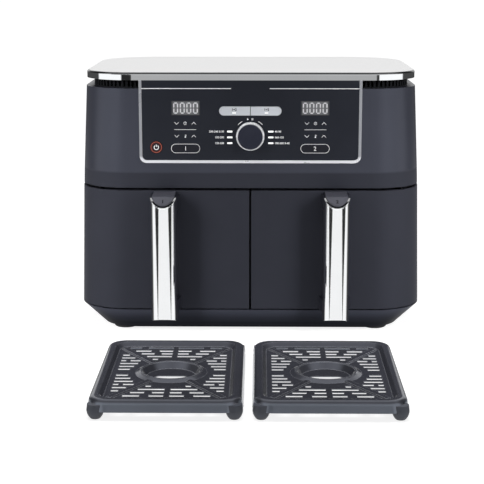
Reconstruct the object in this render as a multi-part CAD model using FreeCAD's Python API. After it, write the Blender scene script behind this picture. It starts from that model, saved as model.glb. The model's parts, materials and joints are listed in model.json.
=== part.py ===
"""Twin-drawer worktop air fryer, with its two crisper plates set down in front of it.

Millimetres. X points to the user's right, Y to the back, Z up from the worktop.
The pieces are drawn with the machine's front face at y = 0 and are moved back by
FRONT_Y on saving, so that the origin is under the middle of the machine and its plates.
"""
import FreeCAD, Part
import math
import os
from FreeCAD import Vector

# Body: the main sizes of the machine
BODY_WIDTH = 431.0
BODY_HEIGHT = 325.0
BODY_DEPTH = 286.0
FRONT_CORNER = 60.0
REAR_CORNER = 78.0
WALL = 3.0

# Heights of the seams, from the worktop up
UNDERSIDE = 4.5
BASE_TOP = 28.0
DRAWER_BOTTOM = 29.5
DRAWER_TOP = 179.0
LIP = 182.0
CREASE = 202.0
DECK = 220.0
SHOULDER = 304.4
COVER_BOTTOM = 314.4

# The sides lean in a little below the lip and more above it
LOWER_LEAN = 4.0
UPPER_LEAN = 6.0
LIP_SETBACK = 2.0
SIDE_SEAM = 62.0
SHELF_SHEET = 2.5

# Base pan, feet and top
BASE_INSET = 28.5
BASE_FRONT_INSET = 6.0
BASE_REAR_INSET = 18.0
BASE_FRONT_CORNER = 45.0
BASE_REAR_CORNER = 60.0
FOOT_RADIUS = 15.5
FOOT_STEM = 4.0
FOOT_X = 158.0
FOOT_FRONT_Y = 30.0
FOOT_REAR_Y = 245.0
BASE_SCREW_YS = (90.0, 240.0)
BASE_SCREW_LENGTH = 12.0
VENT_SETBACK = 10.0
VENT_WALL = 2.5
VENT_PITCH = 5.4
VENT_SLOT = 2.8
VENT_EDGE = 1.4
TOP_FLANGE = 16.0
COVER_INSET = 1.0
COVER_SHEET = 1.5
COVER_TOP = 1.2
COVER_EDGE = 3.0
COVER_CROWN = 1.0
CROWN_INSET = 45.0

# Control panel, on the front face
PANEL_HALF = 135.5
PANEL_BOTTOM = 213.5
PANEL_CORNER = 9.0
TRIM = 3.5
TRIM_FRONT = -1.2
PANEL_FRONT = -0.6
PANEL_BACK = 3.4
BOARD_FRONT = 10.0
BOARD_SHEET = 1.6
KEY_FRONT = -1.4
KEY_BACK = 5.0
KEY_GAP = 0.3
KEY_FLANGE = 1.3
KEY_TRAVEL_GAP = 1.3
TACT_HALF = 3.0
TACT_STEM = 1.7
TACT_REACH = 1.5
DISPLAY_X = 78.7
DISPLAY_WIDTH = 35.0
DISPLAY_BOTTOM = 272.0
DISPLAY_TOP = 289.7
ZONE_KEY_X = 79.0
ZONE_KEY_WIDTH = 35.7
ZONE_KEY_BOTTOM = 225.8
ZONE_KEY_TOP = 237.4
POWER_X = -114.8
POWER_Z = 233.0
POWER_RADIUS = 7.3
BAR_HALF = 37.7
BAR_BOTTOM = 272.0
BAR_TOP = 282.8
BAR_SPLIT = 0.8
LIGHT_X = 25.0
LIGHT_LENGTH = 6.2
LIGHT_HEIGHT = 2.0
LIGHT_ROWS = (252.3, 245.2, 238.1)

# Dial
DIAL_Z = 246.8
DIAL_RING_RADIUS = 17.3
DIAL_RADIUS = 15.1
DIAL_FRONT = -14.0
DIAL_BACK = -2.2
SHAFT_RADIUS = 3.0
SHAFT_CLEARANCE = 0.05
ENCODER_HALF = 6.5
ENCODER_FRONT = 4.0
ENCODER_NECK = 1.5
DIAL_SHAFT_TIP = -10.0
DIAL_SHAFT_BACK = 6.0
PLUNGER_BACK = 8.0
DIAL_RING_DEPTH = 5.0
DIAL_EDGE = 1.4
DIAL_DISH_RADIUS = 120.0
DIAL_DISH_DEPTH = 0.6

# Cooking zones: chamber, drawer and basket
ZONE_X = 104.0
CHAMBER_HALF = 91.5
CHAMBER_FLOOR = 32.0
CHAMBER_BACK = 263.5
CHAMBER_CORNER = 29.0
CHAMBER_SHEET = 0.7
PILLAR_RADIUS = 5.0
RAIL_WIDTH = 3.5
RAIL_HEIGHT = 3.2
RAIL_GAP = 0.3
RAIL_BACK = 230.0
MOUTH_CORNER = 12.0
MOUTH_TOP = 178.0
DRAWER_GAP = 1.2
DRAWER_BLOCK = 14.0
BASKET_BOTTOM = 36.0
BASKET_TOP = 168.0
BASKET_HALF = 84.0
BASKET_FRONT = 20.5
BASKET_BACK = 256.0
BASKET_CORNER = 23.5
BASKET_FOOT_ROUND = 6.0
BASKET_DRAFT = 2.5
BASKET_SHEET = 1.0
BASKET_RIM = 3.5

# Outlet slots, probe and switch of each zone
OUTLET_ROWS = 4
OUTLET_BOTTOM = 182.0
OUTLET_PITCH = 9.0
OUTLET_HEIGHT = 4.0
OUTLET_HALF = 40.0
PROBE_OFFSET = 50.0
PROBE_Z = 196.0
PROBE_RADIUS = 2.5
PROBE_HEAD = 5.0
PROBE_REACH = 28.0
SWITCH_X = 6.0
SWITCH_HALF = 4.5
SWITCH_DEPTH = 20.0
SWITCH_Z = 130.0
SWITCH_NOSE = 1.8
STRIKER_HALF = 2.5
STRIKER_GAP = 0.3

# Fan, motor and heater of each zone
FAN_Y = 150.0
MOTOR_RADIUS = 30.0
MOTOR_HEIGHT = 34.0
FAN_RADIUS = 50.0
COOLING_RADIUS = 38.0
HEATER_RADIUS = 66.0
HEATER_TUBE = 3.5
HEATER_Z = 196.0
HEATER_GAP_ANGLE = 30.0
SHAFT_HOLE = 8.0
GUARD_Z = 184.0
GUARD_BAR = 2.5
GUARD_RADIUS = 80.0
GUARD_RINGS = 4
GUARD_SPOKES = 6
DECK_SHEET = 1.0
HUB_RADIUS = 9.0
BLADE_SHEET = 1.2
BLADE_SWEEP = 30.0
HOT_FAN_BOTTOM = 200.0
HOT_FAN_HEIGHT = 13.0
COOLING_FAN_HEIGHT = 12.0

# Handles
HANDLE_X = 105.0
HANDLE_HALF = 15.7
HANDLE_REACH = 45.0
HANDLE_BOTTOM = 23.9
HANDLE_TOE = 26.8
HANDLE_ROOT_TOP = 178.5
CAP_BEND = 34.7
CAP_BEND_TOP = 177.3
CAP_TIP_TOP = 167.0
CAP_HALF = 13.4
CAP_SHEET = 3.0
CAP_PROUD = 1.2
CAP_SEAM = 0.25
COLLAR_LIP = 0.6
COLLAR_START = 32.0
BAR_BACK = 28.0
GAP_BOTTOM = 45.0
GAP_TOP = 158.0
GAP_ROUND = 8.0
COVER_HALF = 14.3
COVER_BOW = 8.5
SCREW_UPPER_Z = 163.0
SCREW_LOWER_Z = 37.0
HANDLE_SCREW_REACH = 15.0
ROOT_LENGTH = 14.0
LOW_FLARE = 3.6
HIGH_FLARE = 1.4

# Crisper plates
PLATE_WIDTH = 160.0
PLATE_DEPTH = 230.0
PLATE_HEIGHT = 21.0
PLATE_SKIRT = 8.5
PLATE_DECK = 16.0
PLATE_SHEET = 0.9
PLATE_CORNER = 22.0
PLATE_X = 84.4
PLATE_REACH = 110.0
PLATE_DRAFT = 2.0
RIM_WIDTH = 9.0
RIM_SLOPE = 4.0
RIM_EDGE = 5.5
RIM_INNER_EDGE = 1.8
RECESS_CORNER = 14.0
RING_RADIUS = 33.0
RING_TOP = 19.2
RING_SLOPE = 6.0
DISH_FLOOR = 11.6
FINGER_HALF = 18.0
FINGER_FRONT = -21.0
FINGER_BACK = 1.0
FINGER_CORNER = 6.0
SLOT_WIDTH = 5.6
SLOT_PITCH = 10.9
SLOT_START = 49.4
SLOT_MARGIN = 8.5
SIDE_ROWS = 6
END_ROWS = 5
SIDE_SLOT_END = 59.0
SPINE_HALF = 3.2
RIB_HALF = 4.6
RIB_RISE = 1.4
RIB_LENGTH = 70.0
BUMPER_RADIUS = 9.0
BUMPER_TOP = 15.5
BUMPER_TOE = 5.0
BUMPER_WAIST = 9.5
BUMPER_INSET = 0.3

# Rear
REAR_COVER_HALF = 118.0
REAR_COVER_BOTTOM = 62.0
REAR_COVER_TOP = 288.0
LOUVRE_WIDTH = 84.0
LOUVRE_HEIGHT = 4.5
LOUVRE_PITCH = 10.0
LOUVRE_ROWS = 8
LOUVRE_X = 60.0
LOUVRE_BOTTOM = 196.0
GLAND_X = -100.0
GLAND_Z = 44.0
GLAND_BORE = 4.2
GLAND_NOSE = 6.0
SCREW_HEAD = 3.5
SCREW_SHANK = 1.75
SCREW_HEAD_HEIGHT = 1.8
HANDLE_SCREW_SHANK = 2.0
REAR_LEDGE = 14.0
REAR_SCREW_INSET = 8.0

# Worked out from the sizes above
CORE_FRONT = HANDLE_REACH - COVER_BOW
COVER_RADIUS = (COVER_HALF ** 2 + COVER_BOW ** 2) / (2 * COVER_BOW)
NOSE_CENTRE = HANDLE_REACH - COVER_RADIUS
COLLAR_RADIUS = COVER_RADIUS + COLLAR_LIP
CAP_RADIUS = COLLAR_RADIUS - (HANDLE_HALF - CAP_HALF)
COVER_CEILING = BODY_HEIGHT - COVER_CROWN - COVER_TOP
COOLING_FAN_BOTTOM = DECK + MOTOR_HEIGHT + 8
PLATE_Y = -(PLATE_REACH + PLATE_DEPTH / 2)
FRONT_Y = (PLATE_REACH + PLATE_DEPTH - BODY_DEPTH - GLAND_NOSE) / 2
RIB_ANGLE = math.degrees(math.atan2(PLATE_DEPTH / 2 - 13, PLATE_WIDTH / 2 - 13))
SIDES = (("left", -1), ("right", 1))
FAR = 400.0
ORIGIN = Vector(0, 0, 0)
X_AXIS = Vector(1, 0, 0)
Y_AXIS = Vector(0, 1, 0)
Z_AXIS = Vector(0, 0, 1)


# Building blocks

def box(x0, x1, y0, y1, z0, z1):
    return Part.makeBox(x1 - x0, y1 - y0, z1 - z0, Vector(x0, y0, z0))


def rod_y(x, z, radius, y0, y1):
    return Part.makeCylinder(radius, y1 - y0, Vector(x, y0, z), Y_AXIS)


def rod_z(x, y, radius, z0, z1):
    return Part.makeCylinder(radius, z1 - z0, Vector(x, y, z0), Z_AXIS)


def line(start, end):
    return Part.LineSegment(start, end).toShape()


def arc(start, middle, end):
    return Part.Arc(start, middle, end).toShape()


def polar(x, y, radius, degrees, z):
    angle = math.radians(degrees)
    return Vector(x + radius * math.cos(angle), y + radius * math.sin(angle), z)


def rounded_rectangle(x0, x1, y0, y1, radii, z):
    """Closed wire in plan at height z. Radii run front left, front right, rear right, rear left."""
    front_left, front_right, rear_right, rear_left = radii
    corners = (
        (x0 + front_left, y0 + front_left, front_left, 180),
        (x1 - front_right, y0 + front_right, front_right, 270),
        (x1 - rear_right, y1 - rear_right, rear_right, 0),
        (x0 + rear_left, y1 - rear_left, rear_left, 90),
    )
    edges = []
    ends = []
    for x, y, radius, turn in corners:
        ends.append((polar(x, y, radius, turn, z), polar(x, y, radius, turn + 90, z)))
    for index, (x, y, radius, turn) in enumerate(corners):
        begin, end = ends[index]
        if radius > 0:
            edges.append(arc(begin, polar(x, y, radius, turn + 45, z), end))
        following = ends[(index + 1) % len(corners)][0]
        if end.distanceToPoint(following) > 1e-6:
            edges.append(line(end, following))
    return Part.Wire(edges)


def even_rectangle(half_x, half_y, radius, z, x=0.0, y=0.0):
    """Closed rounded rectangle about (x, y) with four equal corners."""
    return rounded_rectangle(x - half_x, x + half_x, y - half_y, y + half_y, (radius,) * 4, z)


def prism(wire, height):
    return Part.Face(wire).extrude(Vector(0, 0, height))


def loft(*wires):
    return Part.makeLoft(list(wires), True, True)


def panel_prism(x0, x1, z0, z1, radii, y0, y1):
    """Rounded block seen from the front. Radii run bottom left, bottom right, top right, top left."""
    block = prism(rounded_rectangle(x0, x1, z0, z1, radii, -y1), y1 - y0)
    block.rotate(ORIGIN, X_AXIS, 90)
    return block


def side_polygon(points, x0, x1):
    """Prism across X of an outline given as (y, z) points."""
    corners = [Vector(x0, y, z) for y, z in points]
    outline = Part.makePolygon(corners + corners[:1])
    return Part.Face(outline).extrude(Vector(x1 - x0, 0, 0))


def turned(points):
    """Solid turned about Z from an outline of (radius, z) points."""
    corners = [Vector(radius, 0, z) for radius, z in points]
    outline = Part.makePolygon(corners + corners[:1])
    return Part.Face(outline).revolve(ORIGIN, Z_AXIS, 360)


def moved(shape, x, y, z=0.0):
    copy = shape.copy()
    copy.translate(Vector(x, y, z))
    return copy


def handed(shape, side):
    """The right-hand shape itself, or its mirror image for the left-hand side."""
    if side > 0:
        return shape
    return shape.mirror(ORIGIN, X_AXIS)


def edges_at(shape, z):
    """Edges that lie wholly at height z."""
    found = []
    for edge in shape.Edges:
        box_of_edge = edge.BoundBox
        if abs(box_of_edge.ZMin - z) < 1e-4 and abs(box_of_edge.ZMax - z) < 1e-4:
            found.append(edge)
    return found


def save(node, *shapes):
    solids = []
    for shape in shapes:
        solids.extend(shape.Solids)
    piece = solids[0] if len(solids) == 1 else Part.makeCompound(solids)
    placed = moved(piece, 0, FRONT_Y)
    placed.exportStep(f"parts/{node}.step")
    print(node, len(solids), "solids", round(piece.Volume / 1000.0, 1), "cm3", piece.isValid())


# Envelope shared by the housing, the drawer fronts and the base

def half_width(z):
    """Half of the body's width at height z."""
    lean = LOWER_LEAN * (min(z, LIP) - BASE_TOP) / (LIP - BASE_TOP)
    if z > LIP:
        lean += UPPER_LEAN * (z - LIP) / (SHOULDER - LIP)
    return BODY_WIDTH / 2 - lean


def body_outline(z, inset=0.0, setback=0.0):
    """Section at height z, drawn in by inset all round, with its front moved back by setback."""
    half = half_width(z) - inset
    front_radius = FRONT_CORNER - inset
    rear_radius = REAR_CORNER - inset
    radii = (front_radius, front_radius, rear_radius, rear_radius)
    return rounded_rectangle(-half, half, inset + setback, BODY_DEPTH - inset, radii, z)


def body_block(z0, z1, inset=0.0):
    return loft(body_outline(z0, inset), body_outline(z1, inset))


def body_slice(z0, z1, inset, y0, y1, x0=-FAR):
    """The part of the envelope between two depths, right of x0."""
    return body_block(z0, z1, inset).common(box(x0, FAR, y0, y1, z0 - 1, z1 + 1))


# Housing

def outer_housing():
    """Front bezel, sides and back in one moulding, open below the lip for the drawers."""
    lip = loft(body_outline(LIP, setback=LIP_SETBACK), body_outline(CREASE))
    upper = body_block(CREASE, SHOULDER).fuse(lip)
    upper = upper.cut(body_block(LIP, SHOULDER - WALL, WALL))
    upper = upper.cut(body_block(SHOULDER - WALL - 1, SHOULDER + 1, TOP_FLANGE))
    sides = body_block(BASE_TOP, LIP)
    sides = sides.cut(body_block(BASE_TOP, LIP, WALL))
    sides = sides.cut(box(-FAR, FAR, -1, SIDE_SEAM, 0, LIP))
    shell = upper.fuse(sides)
    corners = (PANEL_CORNER, PANEL_CORNER, 0, 0)
    panel_cut = panel_prism(-PANEL_HALF, PANEL_HALF, PANEL_BOTTOM, FAR, corners, -1, TOP_FLANGE + 1)
    rear_cut = box(-REAR_COVER_HALF, REAR_COVER_HALF, BODY_DEPTH - WALL - 1, BODY_DEPTH + 1,
                   REAR_COVER_BOTTOM, REAR_COVER_TOP)
    gland_cut = rod_y(GLAND_X, GLAND_Z, GLAND_BORE + 3.5, BODY_DEPTH - WALL - 1, BODY_DEPTH + 1)
    screw_cuts = [rod_y(x, z, SCREW_SHANK, BODY_DEPTH - 3 * WALL, BODY_DEPTH) for x, z in rear_screw_places()]
    return shell.cut([panel_cut, rear_cut, gland_cut]).fuse(rear_ledge()).cut(screw_cuts)


def rear_ledge():
    """Frame inside the back wall that the rear cover lies on."""
    def frame(grow):
        half = REAR_COVER_HALF + grow
        return box(-half, half, BODY_DEPTH - 2 * WALL, BODY_DEPTH - WALL,
                   REAR_COVER_BOTTOM - grow, REAR_COVER_TOP + grow)
    return frame(WALL).cut(frame(-REAR_LEDGE))


def front_frame():
    """Face plate round the two drawer mouths, with a shelf under the control panel."""
    plate = body_slice(BASE_TOP, LIP, WALL, SIDE_SEAM, SIDE_SEAM + WALL)
    upper_plate = body_slice(LIP, DECK, WALL, SIDE_SEAM, SIDE_SEAM + WALL)
    shelf = body_slice(LIP, LIP + SHELF_SHEET, WALL, 0, SIDE_SEAM)
    frame = plate.fuse([upper_plate, shelf])
    cuts = []
    for _, side in SIDES:
        x = side * ZONE_X
        cuts.append(panel_prism(x - CHAMBER_HALF, x + CHAMBER_HALF, CHAMBER_FLOOR, MOUTH_TOP,
                                (MOUTH_CORNER,) * 4, SIDE_SEAM - 1, SIDE_SEAM + WALL + 1))
        cuts.append(rod_y(side * SWITCH_X, SWITCH_Z, SWITCH_NOSE, SIDE_SEAM - 1, SIDE_SEAM + WALL + 1))
    return frame.cut(cuts)


def base_pan():
    """Shallow tapered pan that carries the feet."""
    half = BODY_WIDTH / 2 - BASE_INSET
    radii = (BASE_FRONT_CORNER, BASE_FRONT_CORNER, BASE_REAR_CORNER, BASE_REAR_CORNER)
    low = rounded_rectangle(-half, half, BASE_FRONT_INSET, BODY_DEPTH - BASE_REAR_INSET, radii, UNDERSIDE)
    pan = loft(low, body_outline(BASE_TOP))
    inner_radii = tuple(radius - WALL for radius in radii)
    low_inner = rounded_rectangle(-half + WALL, half - WALL, BASE_FRONT_INSET + WALL,
                                  BODY_DEPTH - BASE_REAR_INSET - WALL, inner_radii, UNDERSIDE + WALL)
    pan = pan.cut(loft(low_inner, body_outline(BASE_TOP, WALL), body_outline(BASE_TOP + 1, WALL)))
    holes = []
    for x, y in foot_places():
        holes.append(rod_z(x, y, FOOT_STEM, 0, UNDERSIDE + WALL + 1))
    for x, y in base_screw_places():
        holes.append(rod_z(x, y, SCREW_SHANK, 0, UNDERSIDE + WALL + 1))
    return pan.cut(holes)


def foot_places():
    places = []
    for _, side in SIDES:
        places.append((side * FOOT_X, FOOT_FRONT_Y))
        places.append((side * FOOT_X, FOOT_REAR_Y))
    return places


def base_screw_places():
    return [(side * ZONE_X, y) for _, side in SIDES for y in BASE_SCREW_YS]


def rubber_feet():
    feet = []
    for x, y in foot_places():
        pad = rod_z(x, y, FOOT_RADIUS, 0, UNDERSIDE)
        pad = pad.makeFillet(3.0, edges_at(pad, 0.0))
        feet.append(pad.fuse(rod_z(x, y, FOOT_STEM, UNDERSIDE, UNDERSIDE + WALL)))
    return feet


def rear_cover():
    """Flat rear panel with two fields of outlet louvres."""
    panel = box(-REAR_COVER_HALF, REAR_COVER_HALF, BODY_DEPTH - WALL, BODY_DEPTH,
                REAR_COVER_BOTTOM, REAR_COVER_TOP)
    cuts = []
    for _, side in SIDES:
        for row in range(LOUVRE_ROWS):
            z = LOUVRE_BOTTOM + row * LOUVRE_PITCH
            x = side * LOUVRE_X
            ends = (LOUVRE_HEIGHT / 2,) * 4
            cuts.append(panel_prism(x - LOUVRE_WIDTH / 2, x + LOUVRE_WIDTH / 2, z, z + LOUVRE_HEIGHT,
                                    ends, BODY_DEPTH - WALL - 1, BODY_DEPTH + 1))
    for x, z in rear_screw_places():
        cuts.append(rod_y(x, z, SCREW_SHANK, BODY_DEPTH - WALL - 1, BODY_DEPTH + 1))
    return panel.cut(cuts)


def rear_screw_places():
    x = REAR_COVER_HALF - REAR_SCREW_INSET
    heights = (REAR_COVER_BOTTOM + REAR_SCREW_INSET, REAR_COVER_TOP - REAR_SCREW_INSET)
    return [(side * x, z) for _, side in SIDES for z in heights]


def housing_screws():
    """Screws of the rear cover and of the base pan."""
    screws = []
    for x, z in rear_screw_places():
        head = rod_y(x, z, SCREW_HEAD, BODY_DEPTH, BODY_DEPTH + SCREW_HEAD_HEIGHT)
        screws.append(head.fuse(rod_y(x, z, SCREW_SHANK, BODY_DEPTH - 3 * WALL, BODY_DEPTH)))
    for x, y in base_screw_places():
        head = rod_z(x, y, SCREW_HEAD, UNDERSIDE - SCREW_HEAD_HEIGHT, UNDERSIDE)
        screws.append(head.fuse(rod_z(x, y, SCREW_SHANK, UNDERSIDE, UNDERSIDE + BASE_SCREW_LENGTH)))
    return screws


def vent_slots():
    """Cutters for the upright intake slots round the right-hand half of the collar."""
    half = half_width(SHOULDER) - VENT_SETBACK
    radius = FRONT_CORNER - VENT_SETBACK
    centre_x = half - radius
    centre_y = VENT_SETBACK + radius
    cutter = box(-VENT_SLOT / 2, VENT_SLOT / 2, -VENT_WALL - 1, VENT_WALL + 1,
                 SHOULDER + VENT_EDGE, COVER_BOTTOM - VENT_EDGE)
    cutters = []
    x = PANEL_HALF + VENT_PITCH / 2
    while x < centre_x:
        cutters.append(moved(cutter, x, VENT_SETBACK + VENT_WALL / 2))
        x += VENT_PITCH
    count = int(radius * math.pi / 2 / VENT_PITCH)
    for index in range(count):
        turn = 90.0 * (index + 0.5) / count
        spoke = moved(cutter, 0, -(radius - VENT_WALL / 2))
        spoke.rotate(ORIGIN, Z_AXIS, turn)
        cutters.append(moved(spoke, centre_x, centre_y))
    quarter = cutter.copy()
    quarter.rotate(ORIGIN, Z_AXIS, 90)
    y = centre_y + VENT_PITCH / 2
    while y < BODY_DEPTH - REAR_CORNER:
        cutters.append(moved(quarter, half - VENT_WALL / 2, y))
        y += VENT_PITCH
    return cutters


def vent_collar():
    """Slotted intake wall, set back under the edge of the top cover."""
    height = COVER_CEILING - SHOULDER
    collar = prism(body_outline(SHOULDER, VENT_SETBACK), height)
    collar = collar.cut(prism(body_outline(SHOULDER, VENT_SETBACK + VENT_WALL), height))
    cutters = []
    for cutter in vent_slots():
        for _, side in SIDES:
            cutters.append(handed(cutter, side))
    return collar.cut(cutters)


def cover_outline(z, inset):
    half = half_width(SHOULDER) - COVER_INSET - inset
    radii = (FRONT_CORNER - inset, FRONT_CORNER - inset, REAR_CORNER - inset, REAR_CORNER - inset)
    return rounded_rectangle(-half, half, inset, BODY_DEPTH - inset, radii, z)


def top_cover():
    """Pressed steel lid with a polished edge band and a faint crown."""
    edge_top = BODY_HEIGHT - COVER_CROWN
    lid = prism(cover_outline(COVER_BOTTOM, 0), edge_top - COVER_BOTTOM)
    lid = lid.makeFillet(COVER_EDGE, edges_at(lid, edge_top))
    crown = loft(cover_outline(edge_top, COVER_EDGE + 0.5), cover_outline(BODY_HEIGHT, CROWN_INSET))
    lid = lid.fuse(crown)
    hollow = prism(cover_outline(COVER_BOTTOM, COVER_SHEET), COVER_CEILING - COVER_BOTTOM)
    return lid.cut(hollow)


def cord_gland():
    """Strain-relief bush in the back wall, for the mains lead."""
    flange = rod_y(GLAND_X, GLAND_Z, GLAND_BORE + 7, BODY_DEPTH, BODY_DEPTH + 2.5)
    body = rod_y(GLAND_X, GLAND_Z, GLAND_BORE + 3.5, BODY_DEPTH - 9, BODY_DEPTH)
    nose = Part.makeCone(GLAND_BORE + 4, GLAND_BORE + 2, GLAND_NOSE - 2.5,
                         Vector(GLAND_X, BODY_DEPTH + 2.5, GLAND_Z), Y_AXIS)
    bore = rod_y(GLAND_X, GLAND_Z, GLAND_BORE, BODY_DEPTH - 10, BODY_DEPTH + GLAND_NOSE + 1)
    return flange.fuse([body, nose]).cut(bore)


# Control panel

def zone_key(x, grow, y0, y1):
    half = ZONE_KEY_WIDTH / 2 + grow
    low = ZONE_KEY_BOTTOM - grow
    high = ZONE_KEY_TOP + grow
    return panel_prism(x - half, x + half, low, high, ((high - low) / 2,) * 4, y0, y1)


def bar_key(side, grow, y0, y1):
    """One half of the split capsule bar. Side is -1 or 1."""
    low = BAR_BOTTOM - grow
    high = BAR_TOP + grow
    end = (high - low) / 2
    inner = BAR_SPLIT / 2 - grow
    key = panel_prism(inner, BAR_HALF + grow, low, high, (0, end, end, 0), y0, y1)
    return handed(key, side)


def power_button():
    face = rod_y(POWER_X, POWER_Z, POWER_RADIUS, KEY_FRONT, KEY_BACK)
    return face.fuse(rod_y(POWER_X, POWER_Z, POWER_RADIUS + KEY_FLANGE, KEY_BACK - 1, KEY_BACK))


def zone_button(side):
    face = zone_key(side * ZONE_KEY_X, 0.0, KEY_FRONT, KEY_BACK)
    return face.fuse(zone_key(side * ZONE_KEY_X, KEY_FLANGE, KEY_BACK - 1, KEY_BACK))


def bar_button(side):
    face = bar_key(side, 0.0, KEY_FRONT, KEY_BACK)
    flange = bar_key(side, KEY_FLANGE, KEY_BACK - 1, KEY_BACK)
    split = handed(box(-FAR, BAR_SPLIT / 2, -FAR, FAR, 0, FAR), side)
    return face.fuse(flange.cut(split))


def display_block(side, y0, y1):
    x = side * DISPLAY_X
    half = DISPLAY_WIDTH / 2
    return panel_prism(x - half, x + half, DISPLAY_BOTTOM, DISPLAY_TOP, (1.0,) * 4, y0, y1)


def light_block(side, z, y0, y1):
    x = side * LIGHT_X
    half = LIGHT_LENGTH / 2
    return box(x - half, x + half, y0, y1, z - LIGHT_HEIGHT / 2, z + LIGHT_HEIGHT / 2)


def control_fascia():
    """Gloss panel with windows for the displays and holes for the keys, lights and dial."""
    half = PANEL_HALF - TRIM
    corner = PANEL_CORNER - TRIM
    plate = panel_prism(-half, half, PANEL_BOTTOM + TRIM, COVER_BOTTOM, (corner, corner, 0, 0),
                        PANEL_FRONT, PANEL_BACK)
    posts = []
    for _, side in SIDES:
        for z in (PANEL_BOTTOM + 10, SHOULDER - 8):
            posts.append(rod_y(side * (half - 6), z, 3.0, PANEL_BACK, BOARD_FRONT))
    front = PANEL_FRONT - 1
    back = PANEL_BACK + 1
    cuts = [rod_y(0, DIAL_Z, ENCODER_HALF, front, back)]
    cuts.append(rod_y(POWER_X, POWER_Z, POWER_RADIUS + KEY_GAP, front, back))
    for _, side in SIDES:
        cuts.append(zone_key(side * ZONE_KEY_X, KEY_GAP, front, back))
        cuts.append(bar_key(side, KEY_GAP, front, back))
        cuts.append(display_block(side, front, back))
        for z in LIGHT_ROWS:
            cuts.append(light_block(side, z, front, back))
    cuts.append(box(-BAR_SPLIT, BAR_SPLIT, front, back, BAR_BOTTOM - KEY_GAP, BAR_TOP + KEY_GAP))
    return plate.fuse(posts).cut(cuts)


def panel_trim():
    """Bright U-shaped surround down both sides and along the bottom of the panel."""
    corners = (PANEL_CORNER, PANEL_CORNER, 0, 0)
    inner = PANEL_CORNER - TRIM
    half = PANEL_HALF - TRIM
    outer = panel_prism(-PANEL_HALF, PANEL_HALF, PANEL_BOTTOM, COVER_BOTTOM, corners, TRIM_FRONT, WALL)
    hole = panel_prism(-half, half, PANEL_BOTTOM + TRIM, FAR, (inner, inner, 0, 0), TRIM_FRONT - 1, WALL + 1)
    return outer.cut(hole)


def time_displays():
    return [display_block(side, PANEL_FRONT, BOARD_FRONT) for _, side in SIDES]


def mode_lights():
    return [light_block(side, z, PANEL_FRONT, BOARD_FRONT) for _, side in SIDES for z in LIGHT_ROWS]


def control_board():
    """Circuit board behind the panel, with a small switch behind each key."""
    half = PANEL_HALF - TRIM - 1
    board = box(-half, half, BOARD_FRONT, BOARD_FRONT + BOARD_SHEET, PANEL_BOTTOM + 5, SHOULDER - 4)
    keys = [(POWER_X, POWER_Z)]
    for _, side in SIDES:
        keys.append((side * ZONE_KEY_X, (ZONE_KEY_BOTTOM + ZONE_KEY_TOP) / 2))
        keys.append((side * BAR_HALF / 2, (BAR_BOTTOM + BAR_TOP) / 2))
    switches = []
    stem = KEY_BACK + KEY_TRAVEL_GAP
    case = stem + TACT_REACH
    for x, z in keys:
        switches.append(box(x - TACT_HALF, x + TACT_HALF, case, BOARD_FRONT, z - TACT_HALF, z + TACT_HALF))
        switches.append(rod_y(x, z, TACT_STEM, stem, case))
    return board.fuse(switches)


# Dial

def dial_encoder():
    """Rotary encoder on the control board, bored for the dial's shaft."""
    case = box(-ENCODER_HALF, ENCODER_HALF, ENCODER_FRONT, BOARD_FRONT,
               DIAL_Z - ENCODER_HALF, DIAL_Z + ENCODER_HALF)
    neck = rod_y(0, DIAL_Z, SHAFT_RADIUS + ENCODER_NECK, 0.0, ENCODER_FRONT)
    bore = rod_y(0, DIAL_Z, SHAFT_RADIUS + SHAFT_CLEARANCE, -1.0, BOARD_FRONT - 0.6)
    return case.fuse(neck).cut(bore)


def start_plunger():
    """Pusher inside the encoder, behind the end of the dial's shaft."""
    radius = SHAFT_RADIUS - SHAFT_CLEARANCE
    return rod_y(0, DIAL_Z, radius, DIAL_SHAFT_BACK + SHAFT_CLEARANCE, PLUNGER_BACK)


def dial_shaft():
    return rod_y(0, DIAL_Z, SHAFT_RADIUS, DIAL_SHAFT_TIP, DIAL_SHAFT_BACK)


def dial_knob():
    depth = DIAL_BACK - DIAL_FRONT
    knob = rod_z(0, 0, DIAL_RADIUS, 0, depth)
    knob = knob.makeFillet(DIAL_EDGE, edges_at(knob, depth))
    dish = Part.makeSphere(DIAL_DISH_RADIUS, Vector(0, 0, depth + DIAL_DISH_RADIUS - DIAL_DISH_DEPTH))
    bore = rod_z(0, 0, SHAFT_RADIUS, -1, DIAL_BACK - DIAL_SHAFT_TIP)
    knob = knob.cut([dish, bore])
    knob.rotate(ORIGIN, X_AXIS, 90)
    return moved(knob, 0, DIAL_BACK, DIAL_Z)


def dial_ring():
    """Bright bevelled skirt round the foot of the dial."""
    depth = DIAL_RING_DEPTH
    ring = turned(((DIAL_RADIUS, 0), (DIAL_RING_RADIUS, 0), (DIAL_RING_RADIUS, depth - 1.4),
                   (DIAL_RING_RADIUS - 0.8, depth - 0.4), (DIAL_RADIUS, depth)))
    ring.rotate(ORIGIN, X_AXIS, 90)
    return moved(ring, 0, DIAL_BACK, DIAL_Z)


# Inside the machine

def inner_deck():
    """Steel deck over both chambers that carries the motors and the power board."""
    deck = body_slice(DECK, DECK + DECK_SHEET, WALL + 0.5, SIDE_SEAM + WALL, BODY_DEPTH - 2 * WALL - 2)
    cuts = []
    for _, side in SIDES:
        cuts.append(rod_z(side * ZONE_X, FAN_Y, SHAFT_HOLE, DECK - 1, DECK + 3))
        for x, y in heater_legs():
            cuts.append(rod_z(side * ZONE_X + x, FAN_Y + y, HEATER_TUBE, DECK - 1, DECK + 3))
    return deck.cut(cuts)


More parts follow.
